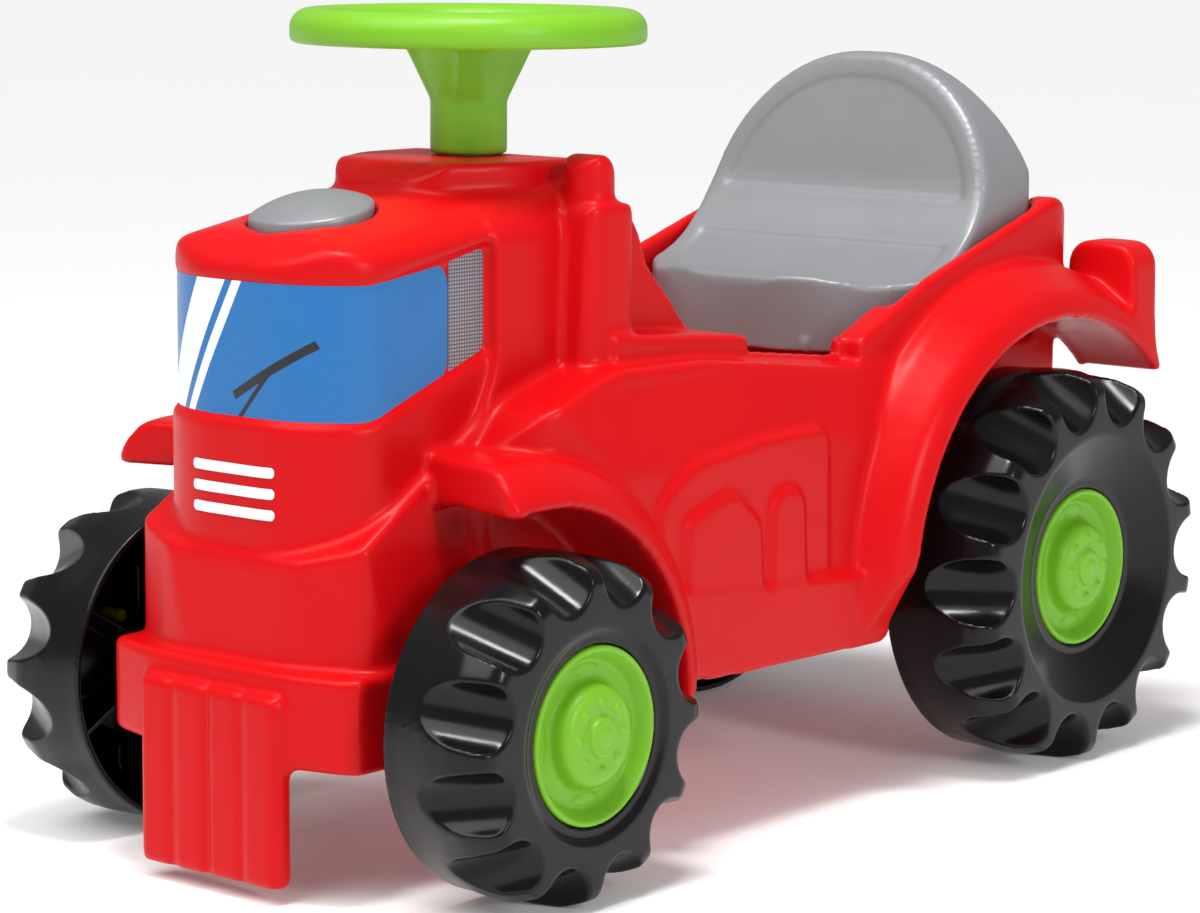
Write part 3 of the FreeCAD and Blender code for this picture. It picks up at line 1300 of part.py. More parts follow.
def steering_screw():
    shank = round_z(0, STEER_Y, SCREW_SEAT_Z - SCREW_L, SCREW_SEAT_Z + 0.5 * SCREW_HEAD_T, SCREW_R)
    head = round_z(0, STEER_Y, SCREW_SEAT_Z, SCREW_SEAT_Z + SCREW_HEAD_T, SCREW_HEAD_R)
    top_z = SCREW_SEAT_Z + SCREW_HEAD_T
    slot = box(-0.5 * SCREW_SLOT_W, 0.5 * SCREW_SLOT_W, STEER_Y - SCREW_HEAD_R, STEER_Y + SCREW_HEAD_R,
               top_z - SCREW_SLOT_H, top_z)
    return joined([head, shank]).cut(slot)


def steering_cap():
    return turned_z([
        (0.0, STEER_HUB_Z - CAP_PLUG_T, 0.0),
        (CAP_PLUG_R, STEER_HUB_Z - CAP_PLUG_T, 0.0),
        (CAP_PLUG_R, STEER_HUB_Z, CAP_EDGE_R),
        (0.0, STEER_HUB_Z, 0.0),
    ], STEER_Y)


# Horn.

def horn_dome(inset):
    """Ball whose top makes the button's dome, leaning with the slope of the bonnet."""
    half = 0.5 * (HORN_HALF_X + HORN_HALF_Y)
    ball_r = (half ** 2 + HORN_DOME ** 2) / (2.0 * HORN_DOME)
    lean = math.atan(BONNET_SLOPE)
    top = V(0, HORN_Y, HORN_Z + HORN_DOME)
    middle = top - V(0, -ball_r * math.sin(lean), ball_r * math.cos(lean))
    return Part.makeSphere(ball_r - inset, middle)


def horn_button():
    low_z = HORN_Z - HORN_SKIRT
    whole = horn_prism(0.0, low_z, HORN_Z + HORN_DOME + LAP).common(horn_dome(0.0))
    inside = horn_prism(-HORN_WALL, low_z, HORN_Z + HORN_DOME).common(horn_dome(HORN_WALL))
    return whole.cut(inside)


def horn_base():
    return horn_prism(0.0, HORN_POCKET_Z, HORN_POCKET_Z + HORN_BASE_T)


def horn_squeaker():
    """Small bellows between the base and the button."""
    low_z = HORN_POCKET_Z + HORN_BASE_T
    fold_h = (SQUEAKER_TOP_Z - low_z) / SQUEAKER_FOLDS
    outline = [(0.0, low_z, 0.0)]
    for i in range(SQUEAKER_FOLDS):
        z = low_z + fold_h * i
        outline.append((SQUEAKER_R - SQUEAKER_FOLD, z, 0.0))
        outline.append((SQUEAKER_R, z + 0.5 * fold_h, SQUEAKER_EDGE_R))
    outline.append((SQUEAKER_R - SQUEAKER_FOLD, SQUEAKER_TOP_Z, 0.0))
    outline.append((0.0, SQUEAKER_TOP_Z, 0.0))
    air = round_z(0, HORN_Y, low_z + SQUEAKER_WALL, SQUEAKER_TOP_Z - SQUEAKER_WALL,
                  SQUEAKER_R - SQUEAKER_FOLD - SQUEAKER_WALL)
    return turned_z(outline, HORN_Y).cut(air)


# Seat.

def seat_plan():
    return mirrored([
        (SEAT_FLAT_HALF, SEAT_FRONT_Y, SEAT_FRONT_R),
        (SEAT_HALF, SEAT_SIDE_Y, SEAT_SIDE_R),
        (SEAT_HALF, SEAT_REAR_Y, SEAT_CORNER_R),
    ])


def seat_arch(base_z):
    """Rounded outline of the backrest, seen from the front."""
    return mirrored([
        (BACK_FLAT_HALF, SEAT_BACK_Z, BACK_ARCH_R),
        (BACK_SHOULDER_HALF, SEAT_BACK_Z - BACK_SHOULDER_DROP, BACK_ARCH_R),
        (SEAT_HALF, base_z, 0.0),
    ])


def seat_form(base_z, inset):
    """Seat pan and backrest; the same outlines give the outside and the hollow below."""
    side = [
        (SEAT_FRONT_Y, base_z, 0.0),
        (SEAT_FRONT_Y, SEAT_Z + SEAT_LIP, SEAT_LIP_R),
        (SEAT_FRONT_Y + SEAT_DIP_RUN, SEAT_Z - SEAT_DIP, SEAT_DIP_R),
        (SEAT_REAR_Y - BACK_FOOT_RUN, SEAT_Z, BACK_FOOT_R),
        (SEAT_REAR_Y - BACK_TOP_RUN, SEAT_BACK_Z, EDGE_R),
        (SEAT_REAR_Y - BACK_REAR_RUN, SEAT_BACK_Z, EDGE_R),
        (SEAT_REAR_Y, SURROUND_Z - BACK_HIP_DROP, BACK_HIP_R),
        (SEAT_REAR_Y, base_z, 0.0),
    ]
    return meet([
        side_prism(inset_outline(side, inset), -FAR, FAR),
        plan_prism(inset_outline(seat_plan(), inset), 0.0, FAR),
        front_prism(inset_outline(seat_arch(base_z), inset), -FAR, FAR),
    ])


def seat_recesses():
    """Shallow panels sunk into the front of the backrest and the top of the pan."""
    back_rear_y = SEAT_REAR_Y - BACK_TOP_RUN + EDGE_R
    back = front_prism(inset_outline(seat_arch(SEAT_BASE_Z), PANEL_EDGE), SEAT_FRONT_Y, back_rear_y)
    back = back.common(box(-SEAT_HALF, SEAT_HALF, SEAT_FRONT_Y, back_rear_y, BACK_PANEL_Z, SEAT_BACK_Z))
    pan = plan_prism(inset_outline(seat_plan(), PANEL_EDGE), SEAT_BASE_Z, SEAT_BACK_Z)
    pan = pan.common(box(-SEAT_HALF, SEAT_HALF, SEAT_FRONT_Y, PAN_PANEL_REAR_Y, SEAT_BASE_Z, SEAT_BACK_Z))
    skin = seat_form(SEAT_BASE_Z, 0.0).cut(seat_form(SEAT_BASE_Z - SEAT_WALL, SEAT_RECESS))
    return [skin.common(back), skin.common(pan)]


def seat_lid():
    """Hollow seat with two hinge eyes under its front edge."""
    shell = seat_form(SEAT_BASE_Z, 0.0).cut(seat_form(SEAT_BASE_Z - 2.0 * SEAT_WALL, SEAT_WALL))
    shell = shell.cut(seat_recesses())
    eye_x = LUG_X + LUG_W + EYE_GAP
    web = box(eye_x, eye_x + EYE_W, SEAT_FRONT_Y + 0.5 * SEAT_WALL, HINGE_Y + HINGE_EYE_R, SEAT_BASE_Z,
              SEAT_Z - SEAT_WALL).common(seat_form(SEAT_BASE_Z, 0.5 * SEAT_WALL))
    web_low = box(eye_x, eye_x + EYE_W, SEAT_FRONT_Y + SEAT_WALL, HINGE_Y, SEAT_BASE_Z, HINGE_Z)
    eye = round_x(eye_x, eye_x + EYE_W, HINGE_Y, HINGE_Z, HINGE_EYE_R)
    eyes = both_sides(joined([web, web_low, eye]))
    return shell.fuse(eyes).cut(hinge_bore())


def seat_hinge_rod():
    return round_x(-HINGE_ROD_HALF, HINGE_ROD_HALF, HINGE_Y, HINGE_Z, HINGE_R)


# Stickers: thin sheets on the nose.

def nose_sheet(step, cutter):
    """Thin sheet around the nose, cut to the outline of a sticker."""
    sheet = plan_prism(nose_plan(step + STICKER_GAP + STICKER_T), BUMPER_TOP_Z, FAR).cut(
        plan_prism(nose_plan(step + STICKER_GAP), BUMPER_TOP_Z, FAR))
    return sheet.common(cutter)


def band_side(front_y, rear_y, corner):
    """Part of the windscreen band between two places, seen from the side."""
    low = CHIN_Z + STICKER_EDGE
    high = BROW_Z - STICKER_EDGE
    chin_y = max(front_y, CHIN_BEND_Y)
    brow_y = max(front_y, BROW_BEND_Y)

    def chin_z(y):
        return low + CHIN_RISE * (y - CHIN_BEND_Y) / (CHIN_REAR_Y - CHIN_BEND_Y)

    def brow_z(y):
        return high + BROW_RISE * (y - BROW_BEND_Y) / (GROOVE_Y - BROW_BEND_Y)

    outline = []
    if front_y < chin_y:
        outline.append((front_y, low, 0.0))
    outline.append((chin_y, chin_z(chin_y), 0.0))
    outline.append((rear_y, chin_z(rear_y), corner))
    outline.append((rear_y, brow_z(rear_y), corner))
    outline.append((brow_y, brow_z(brow_y), 0.0))
    if front_y < brow_y:
        outline.append((front_y, high, 0.0))
    return outline


def windscreen_decal():
    band = band_side(NOSE_FRONT_Y - NOSE_STEP, SCREEN_REAR_Y, SCREEN_CORNER_R)
    return nose_sheet(0.0, side_prism(band, -FAR, FAR))


def side_window_decals():
    band = band_side(SCREEN_REAR_Y + MESH_GAP, MESH_REAR_Y, STICKER_EDGE)
    return nose_sheet(0.0, side_prism(band, -FAR, FAR)).Solids


def grille_decal():
    """Stack of louvre stripes on the front."""
    stripes = []
    for i in range(LOUVRES):
        z = LOUVRE_Z + LOUVRE_PITCH * i
        front = [
            (-LOUVRE_HALF, z, LOUVRE_R),
            (LOUVRE_HALF, z, LOUVRE_R),
            (LOUVRE_HALF, z + LOUVRE_H, LOUVRE_R),
            (-LOUVRE_HALF, z + LOUVRE_H, LOUVRE_R),
        ]
        stripes.append(nose_sheet(NOSE_STEP, front_prism(front, LOWER_NOSE_FRONT_Y, FRONT_AXLE_Y)))
    return stripes


def export(node, solids):
    shape = solids[0] if len(solids) == 1 else Part.makeCompound(solids)
    shape.exportStep("parts/" + node + ".step")


def export_pair(place, part, left):
    for side, solid in zip(("left", "right"), both_sides(left)):
        export(place + "_" + side + "_" + part, [solid])


os.makedirs("parts", exist_ok=True)

front_tyre = tyre(FRONT_AXLE_Y, LOWER_NOSE_HALF, FRONT_TYRE_IN_X, FRONT_TYRE_OUT_X, FRONT_RIM_X, FRONT_TYRE_R,
                  FRONT_LUG_R, FRONT_WALL_R, FRONT_VALLEY_R, FRONT_GAP_R, FRONT_LUGS)
rear_tyre = tyre(REAR_AXLE_Y, REAR_WELL_HALF, REAR_TYRE_IN_X, REAR_TYRE_OUT_X, REAR_RIM_X, REAR_TYRE_R,
                 REAR_LUG_R, REAR_WALL_R, REAR_VALLEY_R, REAR_GAP_R, REAR_LUGS)

export("body_shell", [body_shell()])
export("windscreen_decal", [windscreen_decal()])
export("side_window_decals", side_window_decals())
export("grille_decal", grille_decal())
export_pair("front", "tyre", front_tyre)
export_pair("rear", "tyre", rear_tyre)
export_pair("front", "hub_cap", hub_cap(FRONT_AXLE_Y, FRONT_TYRE_R, FRONT_RIM_X))
export_pair("rear", "hub_cap", hub_cap(REAR_AXLE_Y, REAR_TYRE_R, REAR_RIM_X))
export("front_axle", [axle(FRONT_AXLE_Y, FRONT_TYRE_R, FRONT_RIM_X)])
export("rear_axle", [axle(REAR_AXLE_Y, REAR_TYRE_R, REAR_RIM_X)])
export("front_washers", washers(FRONT_AXLE_Y, FRONT_TYRE_R, LOWER_NOSE_HALF))
export("rear_washers", washers(REAR_AXLE_Y, REAR_TYRE_R, REAR_WELL_HALF))
export("front_push_nuts", push_nuts(FRONT_AXLE_Y, FRONT_TYRE_R, FRONT_RIM_X))
export("rear_push_nuts", push_nuts(REAR_AXLE_Y, REAR_TYRE_R, REAR_RIM_X))
export("steering_wheel", [steering_wheel()])
export("steering_rod", [steering_rod()])
export("steering_bushes", steering_bushes())
export("steering_washer", [steering_washer()])
export("steering_push_nut", [steering_push_nut()])
export("steering_screw", [steering_screw()])
export("steering_cap", [steering_cap()])
export("horn_button", [horn_button()])
export("horn_squeaker", [horn_squeaker()])
export("horn_base", [horn_base()])
export("seat_lid", [seat_lid()])
export("seat_hinge_rod", [seat_hinge_rod()])
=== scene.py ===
import json
import math

import bpy
import numpy as np
import openvdb
from mathutils import Matrix, Vector


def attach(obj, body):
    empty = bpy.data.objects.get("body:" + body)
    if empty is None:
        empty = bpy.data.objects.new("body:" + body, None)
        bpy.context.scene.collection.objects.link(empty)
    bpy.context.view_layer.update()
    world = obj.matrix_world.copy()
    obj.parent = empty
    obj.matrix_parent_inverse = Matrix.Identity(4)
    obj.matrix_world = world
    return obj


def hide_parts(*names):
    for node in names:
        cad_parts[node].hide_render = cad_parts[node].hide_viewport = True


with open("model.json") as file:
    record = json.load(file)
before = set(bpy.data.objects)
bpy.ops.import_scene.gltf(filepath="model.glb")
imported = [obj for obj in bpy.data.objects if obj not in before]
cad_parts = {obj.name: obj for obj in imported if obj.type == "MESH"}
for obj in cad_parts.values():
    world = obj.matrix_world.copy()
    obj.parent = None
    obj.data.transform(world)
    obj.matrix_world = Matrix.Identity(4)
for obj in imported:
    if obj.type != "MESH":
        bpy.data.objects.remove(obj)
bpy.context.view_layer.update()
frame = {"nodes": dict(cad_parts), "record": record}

MM = 0.001

# Photograph and camera, solved from the object's own straight lines and circles.
PHOTO_W = 1200
FOCAL_PX = 3782.24
CAMERA_AT = Vector((1132.96, -1364.54, 423.81)) * MM
CAMERA_TURN = math.radians(40.092)
CAMERA_DOWN = math.radians(8.58)
CAMERA_ROLL = math.radians(0.349)

# Places that the looks share with the solids, in millimetres.
FRONT_AXLE_Y = -192.0
REAR_AXLE_Y = 181.0
HUB_CAP_SHIFT = (-4.6, 373.0, 20.8)
BROW_Z = 262.0
HORN_Y = -211.0
HORN_HALF_X = 28.6
HORN_HALF_Y = 26.6
SCREEN_MIDDLE_Z = 231.0

# Where the bonnet's front edges are relaxed further, in millimetres. Around the horn's pocket the limits
# are in half sizes of the pocket.
BROW_FADE = 4.0
BONNET_SOFT_END_Y = -170.0
BONNET_FADE = 30.0
HORN_CLEAR = 1.1
HORN_FADE = 0.1
BONNET_RELAX_STEPS = 60

# Relaxing, and the width in cells of the band on each side of a surface that has distances.
RELAX_FACTOR = 0.5
SPARE_CELLS = 3.0
BLOCK_BAND_CELLS = 6.0

# Seat, in millimetres: size of a cell, room around the seat, radius of the inner corners and of the rims, and
# where the backrest starts. The lowest layers of cells are left empty, so that the filled seat has a base.
SEAT_CELL = 0.8
SEAT_ROOM = 12.0
SEAT_INNER_R = 1.4
PAN_RIM_R = 2.4
BACKREST_RIM_R = 5.5
BACKREST_Z = 255.0
BACKREST_FADE = 25.0
EMPTY_LAYERS = 3

# Prints: lean of the glints in degrees, lengths in millimetres, and the part of a pitch that a wire takes.
GLINT_LEAN = 28.0
GLINT_HALF_LONG = 60.0
MESH_PITCH = 1.6
WIRE_SHARE = 0.42

COARSE = 1.0


# Soft moulded forms: a CAD surface is turned into a distance field, and its edges are rounded by moving
# the surface out and in again for the inner corners, then in and out again for the outer ones.

def node_points(node):
    """Points and triangles of a CAD node, with the points on its seams joined."""
    mesh = frame["nodes"][node].data
    mesh.calc_loop_triangles()
    points = np.empty(len(mesh.vertices) * 3, np.float32)
    mesh.vertices.foreach_get("co", points)
    points = points.reshape(-1, 3)
    corners = np.empty(len(mesh.loop_triangles) * 3, np.int32)
    mesh.loop_triangles.foreach_get("vertices", corners)
    seam = 0.002 * MM
    _, first, joined = np.unique(np.round(points / seam), axis=0, return_index=True, return_inverse=True)
    return points[first], joined.reshape(-1)[corners].reshape(-1, 3).astype(np.uint32)


def outer_shell(points, triangles):
    """Keeps the connected surface with the largest box, which leaves out the hollow inside."""
    label = np.arange(len(points))
    while True:
        lowest = label[triangles].min(axis=1)
        before = label.copy()
        for corner in range(3):
            np.minimum.at(label, triangles[:, corner], lowest)
        label = label[label]
        if np.array_equal(label, before):
            break
    sizes = {}
    for shell in np.unique(label[triangles[:, 0]]):
        sizes[shell] = np.ptp(points[label == shell], axis=0).sum()
    outer = max(sizes, key=sizes.get)
    return triangles[label[triangles[:, 0]] == outer]


def moved_surface(points, voxel, amount, triangles=None, quads=None):
    """The surface moved outwards by an amount, or inwards by a negative one."""
    grid = openvdb.FloatGrid.createLevelSetFromPolygons(
        points, triangles=triangles, quads=quads, transform=openvdb.createLinearTransform(voxel),
        halfWidth=abs(amount) / voxel + SPARE_CELLS)
    return grid.convertToQuads(isovalue=amount)


def opened_surface(points, voxel, radius, quads):
    """The surface with its outer edges rounded: moved inwards, then out again."""
    points, quads = moved_surface(points, voxel, -radius, quads=quads)
    return moved_surface(points, voxel, radius, quads=quads)


def distance_block(points, voxel, low, shape, quads):
    """Signed distance from a closed surface, in a block of cells."""
    grid = openvdb.FloatGrid.createLevelSetFromPolygons(
        points, quads=quads, transform=openvdb.createLinearTransform(voxel), halfWidth=BLOCK_BAND_CELLS)
    block = np.full(shape, grid.background, np.float32)
    grid.copyToArray(block, ijk=low)
    return block


def block_surface(block, voxel, low):
    """The surface where a block of distances is 0."""
    grid = openvdb.FloatGrid(float(block.max()))
    grid.copyFromArray(block, ijk=low)
    grid.transform = openvdb.createLinearTransform(voxel)
    return grid.convertToQuads(isovalue=0.0)


def mesh_of(name, points, quads):
    """A smooth-shaded mesh of quads, turned to face outwards."""
    mesh = bpy.data.meshes.new(name)
    mesh.vertices.add(len(points))
    mesh.vertices.foreach_set("co", points.astype(np.float32).ravel())
    mesh.loops.add(quads.size)
    mesh.loops.foreach_set("vertex_index", quads[:, ::-1].astype(np.int32).ravel())
    mesh.polygons.add(len(quads))
    mesh.polygons.foreach_set("loop_start", np.arange(0, quads.size, 4, dtype=np.int32))
    mesh.polygons.foreach_set("use_smooth", np.ones(len(quads), bool))
    mesh.update(calc_edges=True)
    mesh.validate()
    return mesh


def finished_mesh(name, mesh, relax_steps, keep, softer=None):
    """The mesh after a light relaxing, with more of it where softer is above 0, and with fewer faces."""
    holder = bpy.data.objects.new(name, mesh)
    bpy.context.collection.objects.link(holder)
    relax = holder.modifiers.new("relax", "SMOOTH")
    relax.factor = RELAX_FACTOR
    relax.iterations = relax_steps
    if softer is not None:
        group = holder.vertex_groups.new(name="softer")
        for index in np.flatnonzero(softer > 0.0):
            group.add([int(index)], float(softer[index]), "REPLACE")
        melt = holder.modifiers.new("melt", "SMOOTH")
        melt.factor = RELAX_FACTOR
        melt.iterations = int(BONNET_RELAX_STEPS / COARSE ** 2)
        melt.vertex_group = "softer"
    if keep < 1.0:
        reduce = holder.modifiers.new("reduce", "DECIMATE")
        reduce.ratio = keep
    done = bpy.data.meshes.new_from_object(holder.evaluated_get(bpy.context.evaluated_depsgraph_get()))
    bpy.data.objects.remove(holder)
    bpy.data.meshes.remove(mesh)
    done.name = name
    done.polygons.foreach_set("use_smooth", np.ones(len(done.polygons), bool))
    return done


def moulded_mesh(name, node, voxel, inner_r, outer_r, relax_steps, keep=1.0, softer_at=None):
    """Mesh of the outside of a CAD node with its inner and outer corners rounded; sizes in millimetres."""
    points, triangles = node_points(node)
    triangles = outer_shell(points, triangles)
    cell = voxel * COARSE * MM
    points, quads = moved_surface(points, cell, inner_r * MM, triangles=triangles)
    points, quads = moved_surface(points, cell, -(inner_r + outer_r) * MM, quads=quads)
    points, quads = moved_surface(points, cell, outer_r * MM, quads=quads)
    mesh = mesh_of(name, points, quads)
    return finished_mesh(name, mesh, relax_steps, keep, softer_at(mesh) if softer_at else None)


def piece(name, mesh, body, node, material):
    """A visible piece that stands for a CAD node and moves with its body."""
    made = bpy.data.objects.new(name, mesh)
    bpy.context.collection.objects.link(made)
    mesh.materials.append(material)
    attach(made, body)
    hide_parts(node)


# Materials. Each has a little variation of colour and gloss and a fine moulded grain.

def new_material(name):
    material = bpy.data.materials.new(name)
    material.use_nodes = True
    tree = material.node_tree
    shader = tree.nodes["Principled BSDF"]
    return material, tree, shader


def place(tree):
    """Position on the object, in metres, fixed to the piece."""
    return tree.nodes.new("ShaderNodeTexCoord").outputs["Object"]


def noise(tree, scale, detail, at=None):
    made = tree.nodes.new("ShaderNodeTexNoise")
    made.inputs["Scale"].default_value = scale
    made.inputs["Detail"].default_value = detail
    tree.links.new(at or place(tree), made.inputs["Vector"])
    return made.outputs["Fac"]


def spread(tree, value, low, high):
    """A noise value spread between two limits."""
    made = tree.nodes.new("ShaderNodeMapRange")
    made.inputs["From Min"].default_value = 0.3
    made.inputs["From Max"].default_value = 0.7
    made.inputs["To Min"].default_value = low
    made.inputs["To Max"].default_value = high
    tree.links.new(value, made.inputs["Value"])
    return made.outputs["Result"]


def mixed(tree, factor, first, second):
    """Colour mix; each end is a colour or a socket."""
    made = tree.nodes.new("ShaderNodeMix")
    made.data_type = "RGBA"
    tree.links.new(factor, made.inputs["Factor"])
    ends = [socket for socket in made.inputs if socket.type == "RGBA"]
    for socket, value in zip(ends, (first, second)):
        if isinstance(value, bpy.types.NodeSocket):
            tree.links.new(value, socket)
        else:
            socket.default_value = (*value, 1.0)
    return next(socket for socket in made.outputs if socket.type == "RGBA")


def grain(tree, shader, scale, strength):
    """Fine moulded grain as a bump."""
    bump = tree.nodes.new("ShaderNodeBump")
    bump.inputs["Strength"].default_value = strength
    bump.inputs["Distance"].default_value = 0.1 * MM
    tree.links.new(noise(tree, scale, 3.0), bump.inputs["Height"])
    tree.links.new(bump.outputs["Normal"], shader.inputs["Normal"])


def plastic(name, colour, shade, rough, gloss=0.4, grain_scale=900.0, grain_strength=0.05, metallic=0.0):
    """Moulded plastic: two close shades in soft clouds, uneven gloss and a fine grain."""
    material, tree, shader = new_material(name)
    clouds = noise(tree, 14.0, 2.0)
    tree.links.new(mixed(tree, clouds, colour, shade), shader.inputs["Base Color"])
    uneven = spread(tree, noise(tree, 60.0, 4.0), rough - 0.04, rough + 0.05)
    tree.links.new(uneven, shader.inputs["Roughness"])
    shader.inputs["Metallic"].default_value = metallic
    shader.inputs["Specular IOR Level"].default_value = gloss
    grain(tree, shader, grain_scale, grain_strength)
    return material


RED = plastic("red_plastic", (0.57, 0.003, 0.005), (0.52, 0.0028, 0.0045), 0.33, gloss=0.13)
GREEN = plastic("green_plastic", (0.175, 0.44, 0.018), (0.155, 0.40, 0.016), 0.36, gloss=0.26)
GREY = plastic("grey_plastic", (0.235, 0.240, 0.250), (0.205, 0.210, 0.220), 0.36, gloss=0.40, metallic=0.15)
BLACK = plastic("black_plastic", (0.0030, 0.0030, 0.0035), (0.0045, 0.0045, 0.0050), 0.20, gloss=0.24)
WHITE = plastic("white_plastic", (0.74, 0.74, 0.72), (0.70, 0.70, 0.68), 0.5)
STEEL = plastic("steel", (0.52, 0.52, 0.54), (0.46, 0.46, 0.48), 0.3, grain_scale=400.0, metallic=1.0)
VINYL = plastic("bellows", (0.60, 0.58, 0.52), (0.55, 0.53, 0.47), 0.55)


# Printed stickers.

def along(tree, at, direction):
    """How far a point lies along a direction."""
    dot = tree.nodes.new("ShaderNodeVectorMath")
    dot.operation = "DOT_PRODUCT"
    dot.inputs[1].default_value = direction
    tree.links.new(at, dot.inputs[0])
    return dot.outputs["Value"]


def math_node(tree, operation, *values):
    """One step of arithmetic; each value is a number or a socket."""
    made = tree.nodes.new("ShaderNodeMath")
    made.operation = operation
    for socket, value in zip(made.inputs, values):
        if isinstance(value, bpy.types.NodeSocket):
            tree.links.new(value, socket)
        else:
            socket.default_value = value
    return made.outputs["Value"]


def bar(tree, at, x, z, lean, half_long, half_wide):
    """Straight bar on the windscreen: its middle, lean from upright and half sizes in millimetres."""
    angle = math.radians(lean)
    up = Vector((math.sin(angle), 0.0, math.cos(angle)))
    across = Vector((math.cos(angle), 0.0, -math.sin(angle)))
    middle = Vector((x * MM, 0.0, z * MM))
    sides = []
    for direction, half_size in ((up, half_long), (across, half_wide)):
        distance = along(tree, at, direction)
        sides.append(math_node(tree, "COMPARE", distance, middle.dot(direction), half_size * MM))
    return math_node(tree, "MULTIPLY", *sides)


def screen_print():
    """Blue glass with slanted white glints and a black wiper, printed on film."""
    material, tree, shader = new_material("screen_print")
    at = place(tree)
    blue = (0.004, 0.150, 0.430)
    deep = (0.003, 0.115, 0.350)
    colour = mixed(tree, noise(tree, 9.0, 1.0, at), blue, deep)
    for x, half_wide in ((-30.0, 8.0), (-14.0, 2.4)):
        glint = bar(tree, at, x, SCREEN_MIDDLE_Z, GLINT_LEAN, GLINT_HALF_LONG, half_wide)
        colour = mixed(tree, glint, colour, (0.78, 0.83, 0.86))
    wiper_arm = (11.0, 212.0, 40.0, 15.0, 1.1)
    wiper_blade = (20.0, 223.0, 60.0, 24.0, 1.9)
    for strip in (wiper_arm, wiper_blade):
        colour = mixed(tree, bar(tree, at, *strip), colour, (0.008, 0.008, 0.009))
    tree.links.new(colour, shader.inputs["Base Color"])
    tree.links.new(spread(tree, noise(tree, 70.0, 3.0, at), 0.22, 0.30), shader.inputs["Roughness"])
    grain(tree, shader, 1200.0, 0.03)
    return material


def mesh_print():
    """Fine grey mesh printed on film."""
    material, tree, shader = new_material("mesh_print")
    at = place(tree)
    wires = []
    for direction in ((0.0, 1.0, 0.0), (0.0, 0.0, 1.0)):
        turns = math_node(tree, "DIVIDE", along(tree, at, direction), MESH_PITCH * MM)
        wires.append(math_node(tree, "LESS_THAN", math_node(tree, "FRACT", turns), WIRE_SHARE))
    wire = math_node(tree, "MAXIMUM", *wires)
    cloth = mixed(tree, noise(tree, 40.0, 2.0, at), (0.30, 0.29, 0.32), (0.37, 0.36, 0.39))
    tree.links.new(mixed(tree, wire, cloth, (0.085, 0.080, 0.095)), shader.inputs["Base Color"])
    tree.links.new(spread(tree, noise(tree, 80.0, 3.0, at), 0.34, 0.44), shader.inputs["Roughness"])
    grain(tree, shader, 1200.0, 0.03)
    return material


WHITE_PRINT = plastic("white_print", (0.80, 0.80, 0.80), (0.76, 0.76, 0.77), 0.3)
SLOT_MATERIALS = {
    "red_plastic": RED, "green_plastic": GREEN, "grey_plastic": GREY, "black_plastic": BLACK,
    "white_plastic": WHITE, "steel": STEEL, "bellows": VINYL, "white_print": WHITE_PRINT,
    "screen_print": screen_print(), "mesh_print": mesh_print(),
}


def paint_cad_nodes():
    """Gives every CAD node that is still shown the material of its slot."""
    for entry in frame["record"]["subparts"]:
        mesh = frame["nodes"][entry["node"]].data
        mesh.materials.clear()
        mesh.materials.append(SLOT_MATERIALS[entry["material_slot"]])


# Pieces.

def bonnet_front(mesh):
    """1 on the front edges of the bonnet, fading out below the brow, behind and around the horn's pocket."""
    points = np.empty(len(mesh.vertices) * 3, np.float32)
    mesh.vertices.foreach_get("co", points)
    x, y, z = points.reshape(-1, 3).T / MM
    above = np.clip((z - BROW_Z) / BROW_FADE, 0.0, 1.0)
    ahead = np.clip((BONNET_SOFT_END_Y - y) / BONNET_FADE, 0.0, 1.0)
    from_horn = np.hypot(x / HORN_HALF_X, (y - HORN_Y) / HORN_HALF_Y)
    return above * ahead * np.clip((from_horn - HORN_CLEAR) / HORN_FADE, 0.0, 1.0)


def body_piece():
    mesh = moulded_mesh("body_moulding", "body_shell", voxel=1.3, inner_r=1.9, outer_r=2.0, relax_steps=5,
                        softer_at=bonnet_front)
    piece("body_moulding", mesh, "body", "body_shell", RED)


def seat_piece():
    """The seat's shell, cut by a copy of its outside that is filled below and has rounded rims."""
    cell = SEAT_CELL * COARSE * MM
    points, triangles = node_points("seat_lid")
    low = np.floor((points.min(axis=0) - SEAT_ROOM * MM) / cell).astype(int)
    shape = np.ceil((points.max(axis=0) + SEAT_ROOM * MM) / cell).astype(int) - low
    soft_points, soft_quads = moved_surface(points, cell, SEAT_INNER_R * MM, triangles=triangles)
    soft_points, soft_quads = moved_surface(soft_points, cell, -SEAT_INNER_R * MM, quads=soft_quads)
    shell = distance_block(soft_points, cell, low, shape, soft_quads)
    filled = np.minimum.accumulate(shell[:, :, ::-1], axis=2)[:, :, ::-1].copy()
    filled[:, :, :EMPTY_LAYERS] = shell.max()
    form_points, form_quads = block_surface(filled, cell, low)
    outsides = []
    for radius in (PAN_RIM_R, BACKREST_RIM_R):
        round_points, round_quads = opened_surface(form_points, cell, radius * MM, form_quads)
        outsides.append(distance_block(round_points, cell, low, shape, round_quads))
    height = (low[2] + np.arange(shape[2])) * cell
    upper = np.clip((height - BACKREST_Z * MM) / (BACKREST_FADE * MM), 0.0, 1.0).astype(np.float32)
    outside = outsides[0] * (1.0 - upper) + outsides[1] * upper
    mesh = mesh_of("seat_moulding", *block_surface(np.maximum(shell, outside), cell, low))
    mesh = finished_mesh("seat_moulding", mesh, relax_steps=5, keep=0.4)
    piece("seat_moulding", mesh, "seat", "seat_lid", GREY)


def steering_piece():
    mesh = moulded_mesh("steering_moulding", "steering_wheel", voxel=0.8, inner_r=5.0, outer_r=1.4,
                        relax_steps=4, keep=0.5)
    piece("steering_moulding", mesh, "steering", "steering_wheel", GREEN)


